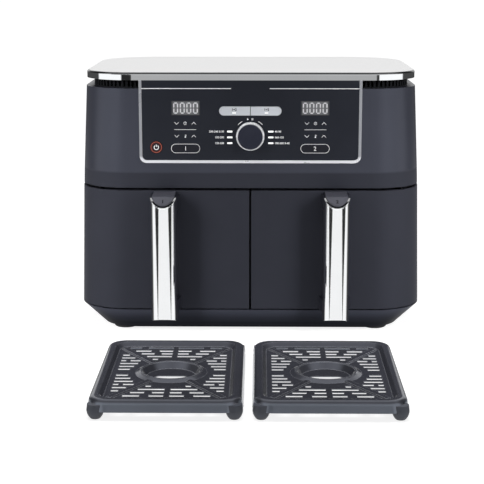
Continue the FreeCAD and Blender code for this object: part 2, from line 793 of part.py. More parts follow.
def power_board():
    """Relay and supply board on posts at the middle of the deck."""
    top = DECK + 12
    board = box(-36, 36, 170, 262, top, top + BOARD_SHEET)
    pieces = []
    for _, side in SIDES:
        for y in (176, 256):
            pieces.append(rod_z(side * 30, y, 3.0, DECK + DECK_SHEET, top))
        pieces.append(box(side * 16 - 9, side * 16 + 9, 178, 194, top + BOARD_SHEET, top + 18))
        pieces.append(rod_z(side * 18, 238, 8.0, top + BOARD_SHEET, top + 24))
    pieces.append(box(-26, 26, 206, 218, top + BOARD_SHEET, top + 22))
    return board.fuse(pieces)


def chamber_outline(grow, front, z):
    """Plan of the right-hand chamber, square in front and rounded at the rear."""
    half = CHAMBER_HALF + grow
    radii = (0, 0, CHAMBER_CORNER + grow, CHAMBER_CORNER + grow)
    return rounded_rectangle(ZONE_X - half, ZONE_X + half, front, CHAMBER_BACK + grow, radii, z)


def chamber():
    """Sheet-steel liner of the right-hand zone, open at the front, on pillars, with rails for the basket."""
    low = CHAMBER_FLOOR - CHAMBER_SHEET
    outer = prism(chamber_outline(CHAMBER_SHEET, SIDE_SEAM + WALL, low), DECK - low)
    inner = prism(chamber_outline(0, SIDE_SEAM, CHAMBER_FLOOR), DECK - CHAMBER_SHEET - CHAMBER_FLOOR)
    cuts = [inner, rod_z(ZONE_X, FAN_Y, SHAFT_HOLE, DECK - 3, DECK + 1)]
    for leg_x, leg_y in heater_legs():
        cuts.append(rod_z(ZONE_X + leg_x, FAN_Y + leg_y, HEATER_TUBE, DECK - 3, DECK + 1))
    cuts.append(rod_y(ZONE_X - PROBE_OFFSET, PROBE_Z, PROBE_RADIUS, CHAMBER_BACK - 1, CHAMBER_BACK + 2))
    for row in range(OUTLET_ROWS):
        z = OUTLET_BOTTOM + row * OUTLET_PITCH
        cuts.append(box(ZONE_X - OUTLET_HALF, ZONE_X + OUTLET_HALF, CHAMBER_BACK - 1, CHAMBER_BACK + 2,
                        z, z + OUTLET_HEIGHT))
    shell = outer.cut(cuts).fuse(chamber_rails() + chamber_pillars(low))
    top = UNDERSIDE + BASE_SCREW_LENGTH
    return shell.cut([rod_z(ZONE_X, y, SCREW_SHANK, 0, top) for y in BASE_SCREW_YS])


def chamber_rails():
    """Ledges along both side walls that carry the basket's rim."""
    high = BASKET_TOP - BASKET_SHEET - RAIL_GAP
    outer = CHAMBER_HALF + CHAMBER_SHEET / 2
    rails = []
    for _, side in SIDES:
        rail = box(CHAMBER_HALF - RAIL_WIDTH, outer, SIDE_SEAM + WALL, RAIL_BACK, high - RAIL_HEIGHT, high)
        rails.append(moved(handed(rail, side), ZONE_X, 0))
    return rails


def chamber_pillars(top):
    """Posts under the floor that stand on the base pan and take its screws."""
    return [rod_z(ZONE_X, y, PILLAR_RADIUS, UNDERSIDE + WALL, top) for y in BASE_SCREW_YS]


def temperature_probes():
    probes = []
    for _, side in SIDES:
        x = side * (ZONE_X - PROBE_OFFSET)
        rod = rod_y(x, PROBE_Z, PROBE_RADIUS, CHAMBER_BACK - PROBE_REACH, CHAMBER_BACK + 9)
        back = CHAMBER_BACK + CHAMBER_SHEET
        probes.append(rod.fuse(rod_y(x, PROBE_Z, PROBE_HEAD, back, back + 4)))
    return probes


def drawer_switches():
    """Switches between the chambers that feel when each drawer is shut."""
    switches = []
    for _, side in SIDES:
        x = side * SWITCH_X
        back = SIDE_SEAM + WALL
        case = box(x - SWITCH_HALF, x + SWITCH_HALF, back, back + SWITCH_DEPTH,
                   SWITCH_Z - SWITCH_DEPTH / 2, SWITCH_Z + SWITCH_DEPTH / 2)
        switches.append(case.fuse(rod_y(x, SWITCH_Z, SWITCH_NOSE, SIDE_SEAM - 1, back)))
    return switches


def heater_legs():
    """Where the two ends of the heater tube rise, from the fan's axis."""
    legs = []
    for turn in (90 - HEATER_GAP_ANGLE / 2, 90 + HEATER_GAP_ANGLE / 2):
        end = polar(0, 0, HEATER_RADIUS, turn, 0)
        legs.append((end.x, end.y))
    return legs


def heater(side):
    """Tubular ring element with both ends turned up through the chamber's roof."""
    ring = Part.makeTorus(HEATER_RADIUS, HEATER_TUBE, Vector(0, 0, HEATER_Z), Z_AXIS, -180, 180,
                          360 - HEATER_GAP_ANGLE)
    ring.rotate(ORIGIN, Z_AXIS, 90 + HEATER_GAP_ANGLE / 2)
    pieces = []
    for x, y in heater_legs():
        pieces.append(Part.makeSphere(HEATER_TUBE, Vector(x, y, HEATER_Z)))
        pieces.append(rod_z(x, y, HEATER_TUBE, HEATER_Z, DECK + 14))
    return moved(ring.fuse(pieces), side * ZONE_X, FAN_Y)


def heater_guard(side):
    """Wire guard under the heater, hung from the chamber's roof on three posts."""
    pieces = []
    top = GUARD_Z + GUARD_BAR
    step = GUARD_RADIUS / GUARD_RINGS
    for index in range(GUARD_RINGS):
        radius = step * (index + 1)
        ring = rod_z(0, 0, radius, GUARD_Z, top)
        pieces.append(ring.cut(rod_z(0, 0, radius - GUARD_BAR, GUARD_Z, top)))
    for index in range(GUARD_SPOKES):
        spoke = box(step - GUARD_BAR, GUARD_RADIUS - 1, -GUARD_BAR / 2, GUARD_BAR / 2, GUARD_Z, top)
        spoke.rotate(ORIGIN, Z_AXIS, 360.0 / GUARD_SPOKES * index)
        pieces.append(spoke)
    for turn in (30, 150, 270):
        post = polar(0, 0, GUARD_RADIUS - GUARD_BAR, turn, 0)
        pieces.append(rod_z(post.x, post.y, GUARD_BAR, GUARD_Z, DECK - CHAMBER_SHEET))
    guard = pieces[0].fuse(pieces[1:])
    return moved(guard, side * ZONE_X, FAN_Y)


def motor(side):
    """Fan motor standing on the deck, bored for its shaft."""
    foot = DECK + DECK_SHEET
    can = rod_z(0, 0, MOTOR_RADIUS, foot, foot + MOTOR_HEIGHT)
    can = can.makeFillet(4.0, edges_at(can, foot + MOTOR_HEIGHT))
    pieces = [rod_z(0, 0, 10.0, foot + MOTOR_HEIGHT, foot + MOTOR_HEIGHT + 4)]
    for turn in (45, 135, 225, 315):
        lug = box(0, MOTOR_RADIUS + 10, -6, 6, foot, foot + 3)
        lug.rotate(ORIGIN, Z_AXIS, turn)
        pieces.append(lug)
    bore = rod_z(0, 0, SHAFT_RADIUS + SHAFT_CLEARANCE, foot - 1, foot + MOTOR_HEIGHT + 5)
    return moved(can.fuse(pieces).cut(bore), side * ZONE_X, FAN_Y)


def motor_shaft(side):
    low = HOT_FAN_BOTTOM - 2
    high = COOLING_FAN_BOTTOM + COOLING_FAN_HEIGHT + 2
    return rod_z(side * ZONE_X, FAN_Y, SHAFT_RADIUS, low, high)


def curved_blade(inner, outer, sweep, sheet, z0, z1):
    """Backward-curved blade between two radii, as an upright strip of even thickness."""
    edges = []
    ends = []
    for offset in (0.0, sheet):
        start = Vector(inner, offset, z0)
        end = Vector(outer * math.cos(sweep), outer * math.sin(sweep) + offset, z0)
        middle = (start + end) * 0.5 + Vector(outer * 0.06, -outer * 0.06, 0)
        edges.append(arc(start, middle, end))
        ends.append((start, end))
    edges.append(line(ends[0][0], ends[1][0]))
    edges.append(line(ends[0][1], ends[1][1]))
    outline = Part.Wire(Part.__sortEdges__(edges))
    return prism(outline, z1 - z0)


def impeller(radius, blades, z0, z1, disc_z):
    """Fan wheel: a bored hub, a carrier disc and curved blades."""
    hub = rod_z(0, 0, HUB_RADIUS, z0, z1)
    pieces = [rod_z(0, 0, radius, disc_z, disc_z + BLADE_SHEET)]
    for index in range(blades):
        blade = curved_blade(HUB_RADIUS - 1, radius, math.radians(BLADE_SWEEP), BLADE_SHEET, z0, z1)
        blade.rotate(ORIGIN, Z_AXIS, 360.0 / blades * index)
        pieces.append(blade)
    bore = rod_z(0, 0, SHAFT_RADIUS, z0 - 1, z1 + 1)
    return hub.fuse(pieces).cut(bore)


def hot_fan(side):
    top = HOT_FAN_BOTTOM + HOT_FAN_HEIGHT
    wheel = impeller(FAN_RADIUS, 8, HOT_FAN_BOTTOM, top, top - BLADE_SHEET)
    return moved(wheel, side * ZONE_X, FAN_Y)


def cooling_fan(side):
    low = COOLING_FAN_BOTTOM
    wheel = impeller(COOLING_RADIUS, 7, low, low + COOLING_FAN_HEIGHT, low)
    return moved(wheel, side * ZONE_X, FAN_Y)


# Drawers, drawn for the right-hand zone

def drawer_front():
    """Hollow front that wraps round the body's corner as a thin wing."""
    block = body_slice(DRAWER_BOTTOM, DRAWER_TOP, 0.0, -1, SIDE_SEAM - DRAWER_GAP, x0=DRAWER_GAP)
    pocket = body_slice(DRAWER_BOTTOM + WALL, DRAWER_TOP - WALL, WALL, -1, FAR, x0=DRAWER_GAP + WALL)
    over_basket = body_slice(DRAWER_TOP - WALL - 1, DRAWER_TOP + 1, WALL, DRAWER_BLOCK, FAR, x0=0)
    beside_basket = box(0, ZONE_X - CHAMBER_HALF, DRAWER_BLOCK, FAR, 0, FAR)
    holes = handle_holes(-1, WALL + 1)
    return block.cut([pocket, over_basket, beside_basket] + holes)


def handle_holes(y0, y1):
    return [rod_y(HANDLE_X, z, HANDLE_SCREW_SHANK, y0, y1) for z in (SCREW_UPPER_Z, SCREW_LOWER_Z)]


def drawer_panel():
    """Inner panel that closes the drawer front and supports the basket's rim at the corner."""
    low = DRAWER_BOTTOM + WALL
    high = DRAWER_TOP - WALL
    panel = body_slice(low, high, WALL, DRAWER_BLOCK - WALL, DRAWER_BLOCK, x0=DRAWER_GAP + WALL)
    shelf_top = BASKET_TOP - BASKET_SHEET
    shelf = body_slice(shelf_top - WALL, shelf_top, WALL, DRAWER_BLOCK, SIDE_SEAM - DRAWER_GAP,
                       x0=ZONE_X + BASKET_HALF / 2)
    half = BASKET_HALF + BASKET_DRAFT + 0.5
    reach = rounded_rectangle(ZONE_X - half, ZONE_X + half, BASKET_FRONT - BASKET_DRAFT - 0.5, FAR,
                              (BASKET_CORNER, BASKET_CORNER, 0, 0), shelf_top - 20)
    shelf = shelf.cut(prism(reach, 40))
    striker = box(SWITCH_X - STRIKER_HALF, SWITCH_X + STRIKER_HALF, DRAWER_BLOCK, SIDE_SEAM - 1 - STRIKER_GAP,
                  SWITCH_Z - STRIKER_HALF, SWITCH_Z + STRIKER_HALF)
    return panel.fuse([shelf, striker]).cut(handle_holes(0, DRAWER_BLOCK + 1))


def basket_outline(z, inset):
    """Basket section at height z: the sides flare out towards the rim."""
    flare = BASKET_DRAFT * (z - BASKET_BOTTOM) / (BASKET_TOP - BASKET_BOTTOM)
    half = BASKET_HALF + flare - inset
    front = BASKET_FRONT - flare + inset
    back = BASKET_BACK + flare - inset
    radius = BASKET_CORNER - inset
    return rounded_rectangle(ZONE_X - half, ZONE_X + half, front, back, (radius,) * 4, z)


def basket():
    """Pressed basket with a flat rolled rim."""
    outer = loft(basket_outline(BASKET_BOTTOM, 0), basket_outline(BASKET_TOP, 0))
    outer = outer.makeFillet(BASKET_FOOT_ROUND, edges_at(outer, BASKET_BOTTOM))
    rim = prism(basket_outline(BASKET_TOP, -BASKET_RIM), -BASKET_SHEET)
    floor = BASKET_BOTTOM + BASKET_SHEET
    inner = loft(basket_outline(floor, BASKET_SHEET), basket_outline(BASKET_TOP + 1, BASKET_SHEET))
    inner = inner.makeFillet(BASKET_FOOT_ROUND - BASKET_SHEET, edges_at(inner, floor))
    return outer.fuse(rim).cut(inner)


def cap_top(y):
    """Height of the handle cap's top at a distance in front of the face: level, then slanting down."""
    if y <= CAP_BEND:
        return HANDLE_ROOT_TOP - (HANDLE_ROOT_TOP - CAP_BEND_TOP) * y / CAP_BEND
    return CAP_BEND_TOP - (CAP_BEND_TOP - CAP_TIP_TOP) * (y - CAP_BEND) / (HANDLE_REACH - CAP_BEND)


def cap_slab(start, over, under):
    """Bent slab from a start in front of the face to past the tip, between two depths under the cap's top."""
    reaches = [start, CAP_BEND, HANDLE_REACH + 5]
    above = [(-y, cap_top(y) - over) for y in reaches]
    below = [(-y, cap_top(y) - under) for y in reversed(reaches)]
    return side_polygon(above + below, HANDLE_X - HANDLE_HALF - 1, HANDLE_X + HANDLE_HALF + 1)


def nose(half, radius):
    """Tall prism of a tongue in plan: straight sides, then a front end round the nose's centre."""
    shoulder = -NOSE_CENTRE - math.sqrt(radius ** 2 - half ** 2)
    left = Vector(HANDLE_X - half, shoulder, 0)
    right = Vector(HANDLE_X + half, shoulder, 0)
    rear_left = Vector(HANDLE_X - half, 1, 0)
    rear_right = Vector(HANDLE_X + half, 1, 0)
    front = arc(left, Vector(HANDLE_X, -NOSE_CENTRE - radius, 0), right)
    outline = Part.Wire([front, line(right, rear_right), line(rear_right, rear_left), line(rear_left, left)])
    return prism(outline, FAR)


def under_toe():
    """Space under the grip's lower end, which rises towards the front."""
    slope = (HANDLE_TOE - HANDLE_BOTTOM) / COVER_BOW
    reach = COVER_BOW + 5
    profile = ((-CORE_FRONT, HANDLE_BOTTOM), (-CORE_FRONT - reach, HANDLE_BOTTOM + slope * reach),
               (-CORE_FRONT - reach, 0), (-CORE_FRONT, 0))
    return side_polygon(profile, HANDLE_X - HANDLE_HALF - 1, HANDLE_X + HANDLE_HALF + 1)


def flare(half0, half1, y0, low0, high0, low1, high1):
    """Arm root that widens from a section at y0 to one on the drawer's face."""
    wires = []
    for half, y, low, high in ((half0, y0, low0, high0), (half1, 0.0, low1, high1)):
        corners = [Vector(HANDLE_X - half, y, low), Vector(HANDLE_X + half, y, low),
                   Vector(HANDLE_X + half, y, high), Vector(HANDLE_X - half, y, high)]
        wires.append(Part.makePolygon(corners + corners[:1]))
    return loft(*wires)


def handle_core():
    """Moulded grip: two arms and an upright bar, with the finger gap behind it."""
    profile = ((0, HANDLE_ROOT_TOP - CAP_SHEET), (-CAP_BEND, CAP_BEND_TOP - CAP_SHEET),
               (-CORE_FRONT, cap_top(CORE_FRONT) - CAP_SHEET), (-CORE_FRONT, HANDLE_BOTTOM),
               (-BAR_BACK, HANDLE_BOTTOM), (0, DRAWER_BOTTOM + 0.5))
    core = side_polygon(profile, HANDLE_X - HANDLE_HALF, HANDLE_X + HANDLE_HALF)
    edge = HANDLE_HALF - COVER_HALF
    rounds = (edge, edge, 0, 0)
    plan = rounded_rectangle(HANDLE_X - HANDLE_HALF, HANDLE_X + HANDLE_HALF, -CORE_FRONT, 1, rounds, 0)
    core = core.common(prism(plan, FAR))
    gap = prism(rounded_rectangle(-BAR_BACK, 20, GAP_BOTTOM, GAP_TOP, (GAP_ROUND, 0, 0, GAP_ROUND), 0), FAR)
    gap.rotate(ORIGIN, Vector(1, 1, 1), 120)
    core = core.cut(gap)
    low_root = flare(HANDLE_HALF, HANDLE_HALF + LOW_FLARE, -ROOT_LENGTH, DRAWER_BOTTOM - 0.5, GAP_BOTTOM,
                     DRAWER_BOTTOM + 0.5, GAP_BOTTOM + 1)
    high_root = flare(HANDLE_HALF, HANDLE_HALF + HIGH_FLARE, -ROOT_LENGTH, GAP_TOP,
                      cap_top(ROOT_LENGTH) - CAP_SHEET, GAP_TOP - 1, HANDLE_ROOT_TOP - CAP_SHEET)
    return core.fuse([low_root, high_root]).cut(handle_holes(-HANDLE_SCREW_REACH, 1))


def handle_cap():
    """Tongue on top of the grip that bends down to a slanted round end, where the zone's number is."""
    return cap_slab(0, 0, CAP_SHEET).common(nose(CAP_HALF, CAP_RADIUS))


def handle_cover():
    """Plated front of the grip: a bowed strip, with a collar round the cap's slanted end."""
    in_front = box(HANDLE_X - HANDLE_HALF, HANDLE_X + HANDLE_HALF, -FAR, -CORE_FRONT, HANDLE_BOTTOM, FAR)
    strip = nose(COVER_HALF, COVER_RADIUS).common(in_front).cut([under_toe(), cap_slab(0, -FAR, CAP_SHEET)])
    collar = cap_slab(COLLAR_START, CAP_PROUD, CAP_SHEET).common(nose(HANDLE_HALF, COLLAR_RADIUS))
    return strip.fuse(collar.cut(nose(CAP_HALF + CAP_SEAM, CAP_RADIUS + CAP_SEAM)))


def handle_screws():
    screws = []
    for z in (SCREW_UPPER_Z, SCREW_LOWER_Z):
        head = rod_y(HANDLE_X, z, SCREW_HEAD, DRAWER_BLOCK, DRAWER_BLOCK + SCREW_HEAD_HEIGHT)
        screws.append(head.fuse(rod_y(HANDLE_X, z, HANDLE_SCREW_SHANK, -HANDLE_SCREW_REACH, DRAWER_BLOCK)))
    return screws


# Crisper plates, drawn about their own centre

def side_slots():
    """Rows of slots at the right-hand side of the deck, in front of and behind the middle."""
    slots = []
    slope = 1.0 / math.tan(math.radians(RIB_ANGLE))
    clear_of_ring = RING_RADIUS + 2 * SLOT_MARGIN
    split_row = 3
    for row in range(SIDE_ROWS):
        y = SLOT_PITCH * (row + 1)
        inner = max(y * slope + SLOT_MARGIN, clear_of_ring - y / 3)
        if row == split_row:
            slots.append((inner, inner + 2 * SLOT_WIDTH, y))
            slots.append((SIDE_SLOT_END - SLOT_WIDTH, SIDE_SLOT_END, y))
        else:
            slots.append((inner, SIDE_SLOT_END, y))
    return slots


def end_slots():
    """Rows of slots between the ribs at the far end of the deck, right of the spine."""
    slots = []
    slope = 1.0 / math.tan(math.radians(RIB_ANGLE))
    for row in range(END_ROWS):
        y = SLOT_START + SLOT_PITCH * row
        reach = y * slope - SLOT_MARGIN
        if row == 0:
            slots.append((reach - SLOT_WIDTH, reach, y))
        elif row == 1:
            slots.append((SPINE_HALF, reach, y))
        elif row == END_ROWS - 1:
            slots.append((SPINE_HALF, 0.6 * reach, y))
            slots.append((0.76 * reach, reach, y))
        else:
            slots.append((SPINE_HALF, 0.4 * reach, y))
            slots.append((0.62 * reach, reach, y))
    return slots


def slot_cutters():
    cutters = []
    for x0, x1, y in side_slots() + end_slots():
        for end in (-1, 1):
            low = end * y - SLOT_WIDTH / 2
            slot = box(x0, x1, low, low + SLOT_WIDTH, PLATE_SKIRT - 1, PLATE_DECK + 1)
            for _, side in SIDES:
                cutters.append(handed(slot, side))
    return cutters


def plate_ribs():
    """Four raised ribs from the ring towards the corners."""
    start = RING_RADIUS + 5
    length = RIB_LENGTH
    base = PLATE_DECK - 0.5
    top = PLATE_DECK + RIB_RISE
    section = [Vector(start, -RIB_HALF, base), Vector(start, RIB_HALF, base),
               Vector(start, RIB_HALF - 1.5, top), Vector(start, 1.5 - RIB_HALF, top)]
    rib = Part.Face(Part.makePolygon(section + section[:1])).extrude(Vector(length, 0, 0))
    ribs = []
    for turn in (RIB_ANGLE, 180 - RIB_ANGLE, 180 + RIB_ANGLE, -RIB_ANGLE):
        arm = rib.copy()
        arm.rotate(ORIGIN, Z_AXIS, turn)
        ribs.append(arm)
    return ribs


def plate_ring():
    """Raised ring round a sunk dish, pressed from the same sheet as the deck."""
    deck_under = PLATE_DECK - PLATE_SHEET
    dish_under = DISH_FLOOR - PLATE_SHEET
    outer_foot = RING_RADIUS + RING_SLOPE
    inner_foot = RING_RADIUS - RING_SLOPE
    above = ((outer_foot, PLATE_DECK), (RING_RADIUS + 1.6, RING_TOP - 1.0),
             (RING_RADIUS + 0.7, RING_TOP - 0.2), (RING_RADIUS - 0.4, RING_TOP),
             (RING_RADIUS - 1.6, RING_TOP - 0.5), (inner_foot, DISH_FLOOR), (0, DISH_FLOOR))
    below = ((0, dish_under), (inner_foot + 1.2, dish_under), (RING_RADIUS - 0.3, RING_TOP - 2.0),
             (RING_RADIUS + 0.4, RING_TOP - 2.2), (outer_foot - 1.4, deck_under), (outer_foot, deck_under))
    return turned(above + below)


def bumper_places():
    x = PLATE_WIDTH / 2 - BUMPER_RADIUS - BUMPER_INSET
    y = PLATE_DEPTH / 2 - BUMPER_RADIUS - BUMPER_INSET
    return [(side_x * x, side_y * y) for side_x in (-1, 1) for side_y in (-1, 1)]


def plate_outline(inset, radius, z):
    return even_rectangle(PLATE_WIDTH / 2 - inset, PLATE_DEPTH / 2 - inset, radius, z)


def rim_edges(shape, inset):
    """Edges of the flat top that lie within an inset from the plate's outline."""
    half_x = PLATE_WIDTH / 2 - inset + 0.01
    half_y = PLATE_DEPTH / 2 - inset + 0.01
    found = []
    for edge in edges_at(shape, PLATE_HEIGHT):
        bounds = edge.BoundBox
        if max(-bounds.XMin, bounds.XMax) < half_x and max(-bounds.YMin, bounds.YMax) < half_y:
            found.append(edge)
    return found


def folded_rim():
    """Deck and rolled rim of one sheet: a solid block, its tray, and the hollow under the sheet."""
    sheet = PLATE_SHEET
    rim = PLATE_DRAFT + RIM_WIDTH
    foot = rim + RIM_SLOPE
    low = PLATE_SKIRT - 0.5
    fold_top = PLATE_HEIGHT - sheet
    body = loft(plate_outline(0, PLATE_CORNER, PLATE_SKIRT),
                plate_outline(PLATE_DRAFT, PLATE_CORNER - PLATE_DRAFT, PLATE_HEIGHT))
    body = body.makeFillet(RIM_EDGE, edges_at(body, PLATE_HEIGHT))
    tray = loft(plate_outline(foot, RECESS_CORNER, PLATE_DECK),
                plate_outline(rim, RECESS_CORNER + 2, PLATE_HEIGHT + 0.01))
    body = body.cut(tray)
    body = body.makeFillet(RIM_INNER_EDGE, rim_edges(body, rim))
    hollow = loft(plate_outline(sheet, PLATE_CORNER - sheet, low),
                  plate_outline(PLATE_DRAFT + sheet, PLATE_CORNER - PLATE_DRAFT - sheet, fold_top))
    hollow = hollow.makeFillet(RIM_EDGE - sheet, edges_at(hollow, fold_top))
    under_tray = loft(plate_outline(foot - sheet, RECESS_CORNER + 1, PLATE_DECK - sheet),
                      plate_outline(rim - sheet, RECESS_CORNER + 3, fold_top))
    return body.cut(hollow.cut(under_tray))


def crisper_plate():
    """Slotted plate with a folded rim, crossed ribs and a finger hole in its sunk middle."""
    middle = rod_z(0, 0, RING_RADIUS + RING_SLOPE - 0.8, 0, PLATE_HEIGHT)
    bites = [rod_z(x, y, BUMPER_RADIUS, 0, BUMPER_TOP) for x, y in bumper_places()]
    plate = folded_rim().cut([middle] + bites)
    plate = plate.fuse([plate_ring()] + plate_ribs())
    finger_hole = prism(rounded_rectangle(-FINGER_HALF, FINGER_HALF, FINGER_FRONT, FINGER_BACK,
                                          (FINGER_CORNER,) * 4, 0), PLATE_HEIGHT)
    return plate.cut(slot_cutters() + [finger_hole])


def plate_bumpers():
    """Soft feet at the four corners of a plate."""
    reach = BUMPER_RADIUS - BUMPER_TOE
    centre = (BUMPER_RADIUS ** 2 - BUMPER_TOE ** 2 - BUMPER_WAIST ** 2) / (2 * reach)
    radius = BUMPER_RADIUS - centre
    half_turn = math.atan2(BUMPER_WAIST, BUMPER_TOE - centre) / 2
    middle = Vector(centre + radius * math.cos(half_turn), 0, BUMPER_WAIST - radius * math.sin(half_turn))
    axis_low = Vector(0, 0, 0)
    toe = Vector(BUMPER_TOE, 0, 0)
    waist = Vector(BUMPER_RADIUS, 0, BUMPER_WAIST)
    shoulder = Vector(BUMPER_RADIUS - 0.8, 0, BUMPER_TOP)
    axis_high = Vector(0, 0, BUMPER_TOP)
    outline = Part.Wire([line(axis_low, toe), arc(toe, middle, waist), line(waist, shoulder),
                         line(shoulder, axis_high), line(axis_high, axis_low)])
    foot = Part.Face(outline).revolve(ORIGIN, Z_AXIS, 360)
    return [moved(foot, x, y) for x, y in bumper_places()]


# Saving every piece

def save_machine():
    save("outer_housing", outer_housing())
    save("front_frame", front_frame())
    save("base_pan", base_pan())
    save("rubber_feet", *rubber_feet())
    save("rear_cover", rear_cover())
    save("housing_screws", *housing_screws())
    save("vent_collar", vent_collar())
    save("top_cover", top_cover())
    save("cord_gland", cord_gland())
    save("inner_deck", inner_deck())
    save("power_board", power_board())
    save("temperature_probes", *temperature_probes())
    save("drawer_switches", *drawer_switches())


def save_controls():
    save("control_fascia", control_fascia())
    save("panel_trim", panel_trim())
    save("time_displays", *time_displays())
    save("mode_lights", *mode_lights())
    save("control_board", control_board())
    save("dial_encoder", dial_encoder())
    save("start_plunger", start_plunger())
    save("dial_shaft", dial_shaft())
    save("dial_knob", dial_knob())
    save("dial_ring", dial_ring())
    save("power_button", power_button())
    save("sync_button", bar_button(-1))
    save("match_button", bar_button(1))


def save_zones():
    drawer = {
        "drawer_front": [drawer_front()],
        "drawer_panel": [drawer_panel()],
        "basket": [basket()],
        "handle_core": [handle_core()],
        "handle_cap": [handle_cap()],
        "handle_cover": [handle_cover()],
        "handle_screws": handle_screws(),
    }
    liner = chamber()
    plate = crisper_plate()
    bumpers = plate_bumpers()
    for name, side in SIDES:
        save(f"{name}_zone_button", zone_button(side))
        save(f"{name}_chamber", handed(liner, side))
        save(f"{name}_heater", heater(side))
        save(f"{name}_heater_guard", heater_guard(side))
        save(f"{name}_motor", motor(side))
        save(f"{name}_motor_shaft", motor_shaft(side))
        save(f"{name}_hot_fan", hot_fan(side))
        save(f"{name}_cooling_fan", cooling_fan(side))
        for piece, shapes in drawer.items():
            save(f"{name}_{piece}", *[handed(shape, side) for shape in shapes])
        save(f"{name}_crisper_plate", moved(plate, side * PLATE_X, PLATE_Y))
        save(f"{name}_plate_bumpers", *[moved(foot, side * PLATE_X, PLATE_Y) for foot in bumpers])


os.makedirs("parts", exist_ok=True)
save_machine()
save_controls()
save_zones()
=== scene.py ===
"""Looks of the twin-drawer air fryer: finishes, panel print, screws, light and camera.

Metres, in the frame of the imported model: X to the user's right, Y to the back, Z up.
The print and the screws are drawn in millimetres and scaled when a piece is made.
"""
import json
import math

import bmesh
import bpy
from mathutils import Matrix, Vector


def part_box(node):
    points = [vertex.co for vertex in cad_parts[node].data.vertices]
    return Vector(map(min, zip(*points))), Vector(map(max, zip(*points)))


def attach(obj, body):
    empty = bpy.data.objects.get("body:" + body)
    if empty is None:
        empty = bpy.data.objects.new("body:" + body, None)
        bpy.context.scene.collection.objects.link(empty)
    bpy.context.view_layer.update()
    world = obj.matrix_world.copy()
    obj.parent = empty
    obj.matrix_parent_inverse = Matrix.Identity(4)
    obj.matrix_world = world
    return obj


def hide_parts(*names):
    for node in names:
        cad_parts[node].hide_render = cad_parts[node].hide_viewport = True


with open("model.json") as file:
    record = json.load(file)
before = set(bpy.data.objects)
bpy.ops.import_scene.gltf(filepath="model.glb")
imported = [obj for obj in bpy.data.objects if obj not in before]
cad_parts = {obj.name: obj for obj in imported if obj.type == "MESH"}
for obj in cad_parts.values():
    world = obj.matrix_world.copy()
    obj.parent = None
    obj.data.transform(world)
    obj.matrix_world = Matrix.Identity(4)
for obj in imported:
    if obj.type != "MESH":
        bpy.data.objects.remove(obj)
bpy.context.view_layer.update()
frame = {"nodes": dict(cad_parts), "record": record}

MM = 0.001
SIDES = (("left", -1), ("right", 1))


# Sizes read from the frame, in millimetres

def box_mm(name):
    """Lowest and highest corner of a CAD node, in millimetres."""
    low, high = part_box(name)
    return low / MM, high / MM


def middle_mm(name):
    """Middle of a CAD node's box, in millimetres."""
    low, high = box_mm(name)
    return (low + high) / 2


PANEL_LOW, PANEL_HIGH = box_mm("control_fascia")
DISPLAY_LOW, DISPLAY_HIGH = box_mm("time_displays")
DISPLAY_Z = middle_mm("time_displays").z
LIGHT_LOW, LIGHT_HIGH = box_mm("mode_lights")
LIGHT_Z = middle_mm("mode_lights").z
RING_LOW, RING_HIGH = box_mm("dial_ring")
RING_RADIUS = (RING_HIGH.x - RING_LOW.x) / 2
DIAL = middle_mm("dial_knob")
POWER = middle_mm("power_button")
POWER_FRONT = box_mm("power_button")[0].y

# Print in general, in millimetres, and the least cosine that a line's corner is mitred by
PRINT_DEPTH = 0.1
FINE_LINE = 0.45
LEAST_MITRE = 0.3

# Lines along the top of the panel, in millimetres
RULE_Z = PANEL_HIGH.z - 9.9
RULE_INNER_X = 23.5
RULE_LINE = 0.8

# Displays and their digits, in millimetres
WINDOW_HALF = 17.5
WINDOW_X = DISPLAY_HIGH.x - WINDOW_HALF
DIGIT_COUNT = 4
DIGIT_HEIGHT = 13.6
DIGIT_WIDTH = 6.0
DIGIT_PITCH = 8.0
DIGIT_STROKE = 1.45
DIGIT_GAP = 0.35

# Touch marks under the displays, in millimetres
CLUSTER_X = WINDOW_X + 0.6
ROW_TIME_Z = DISPLAY_LOW.z - 9.7
ROW_RULE_Z = DISPLAY_LOW.z - 17.4
ROW_HEAT_Z = DISPLAY_LOW.z - 25.4
ROW_RULE_HALF = 13.3
CHEVRON_X = 10.4
CHEVRON_HALF = 2.6
CHEVRON_RISE = 2.7
CLOCK_RADIUS = 1.7
CLOCK_LINE = 0.4
CLOCK_LONG_HAND = 1.1
CLOCK_SHORT_HAND = 0.8
BULB_RADIUS = 0.85
BULB_DROP = 1.1
STEM_DROP = 0.6
STEM_RISE = 1.9
STEM_LINE = 0.6
TICK_RISES = (0.5, 1.3)
TICK_START = 0.8
TICK_END = 1.6
TICK_LINE = 0.35

# Legends round the dial, in millimetres and degrees
LIGHT_HALF = 1.0
LEGEND_ROWS = (("200-240 5-30", "40-90"), ("150-200", "060-150"), ("120-200", "100-200 5-60"))
LEGEND_HEIGHT = 2.5
LEGEND_LEFT_X = LIGHT_LOW.x - 3.9
LEGEND_RIGHT_X = LIGHT_HIGH.x + 1.7
LEGEND_WEIGHT = 0.02
DIAL_ARC_AWAY = 3.0
DIAL_ARC_MIDDLES = (128, 52)
DIAL_ARC_HALF = 9
DIAL_ARC_LINE = 0.5
DIAL_SIGN_AWAY = 3.4
DIAL_SIGN_HALF = 1.2
START_ANGLE = 98
START_BACK = 1.0
START_TIP = 1.2
PAUSE_ANGLE = 83
PAUSE_HALF_GAP = 0.6
PAUSE_LINE = 0.6

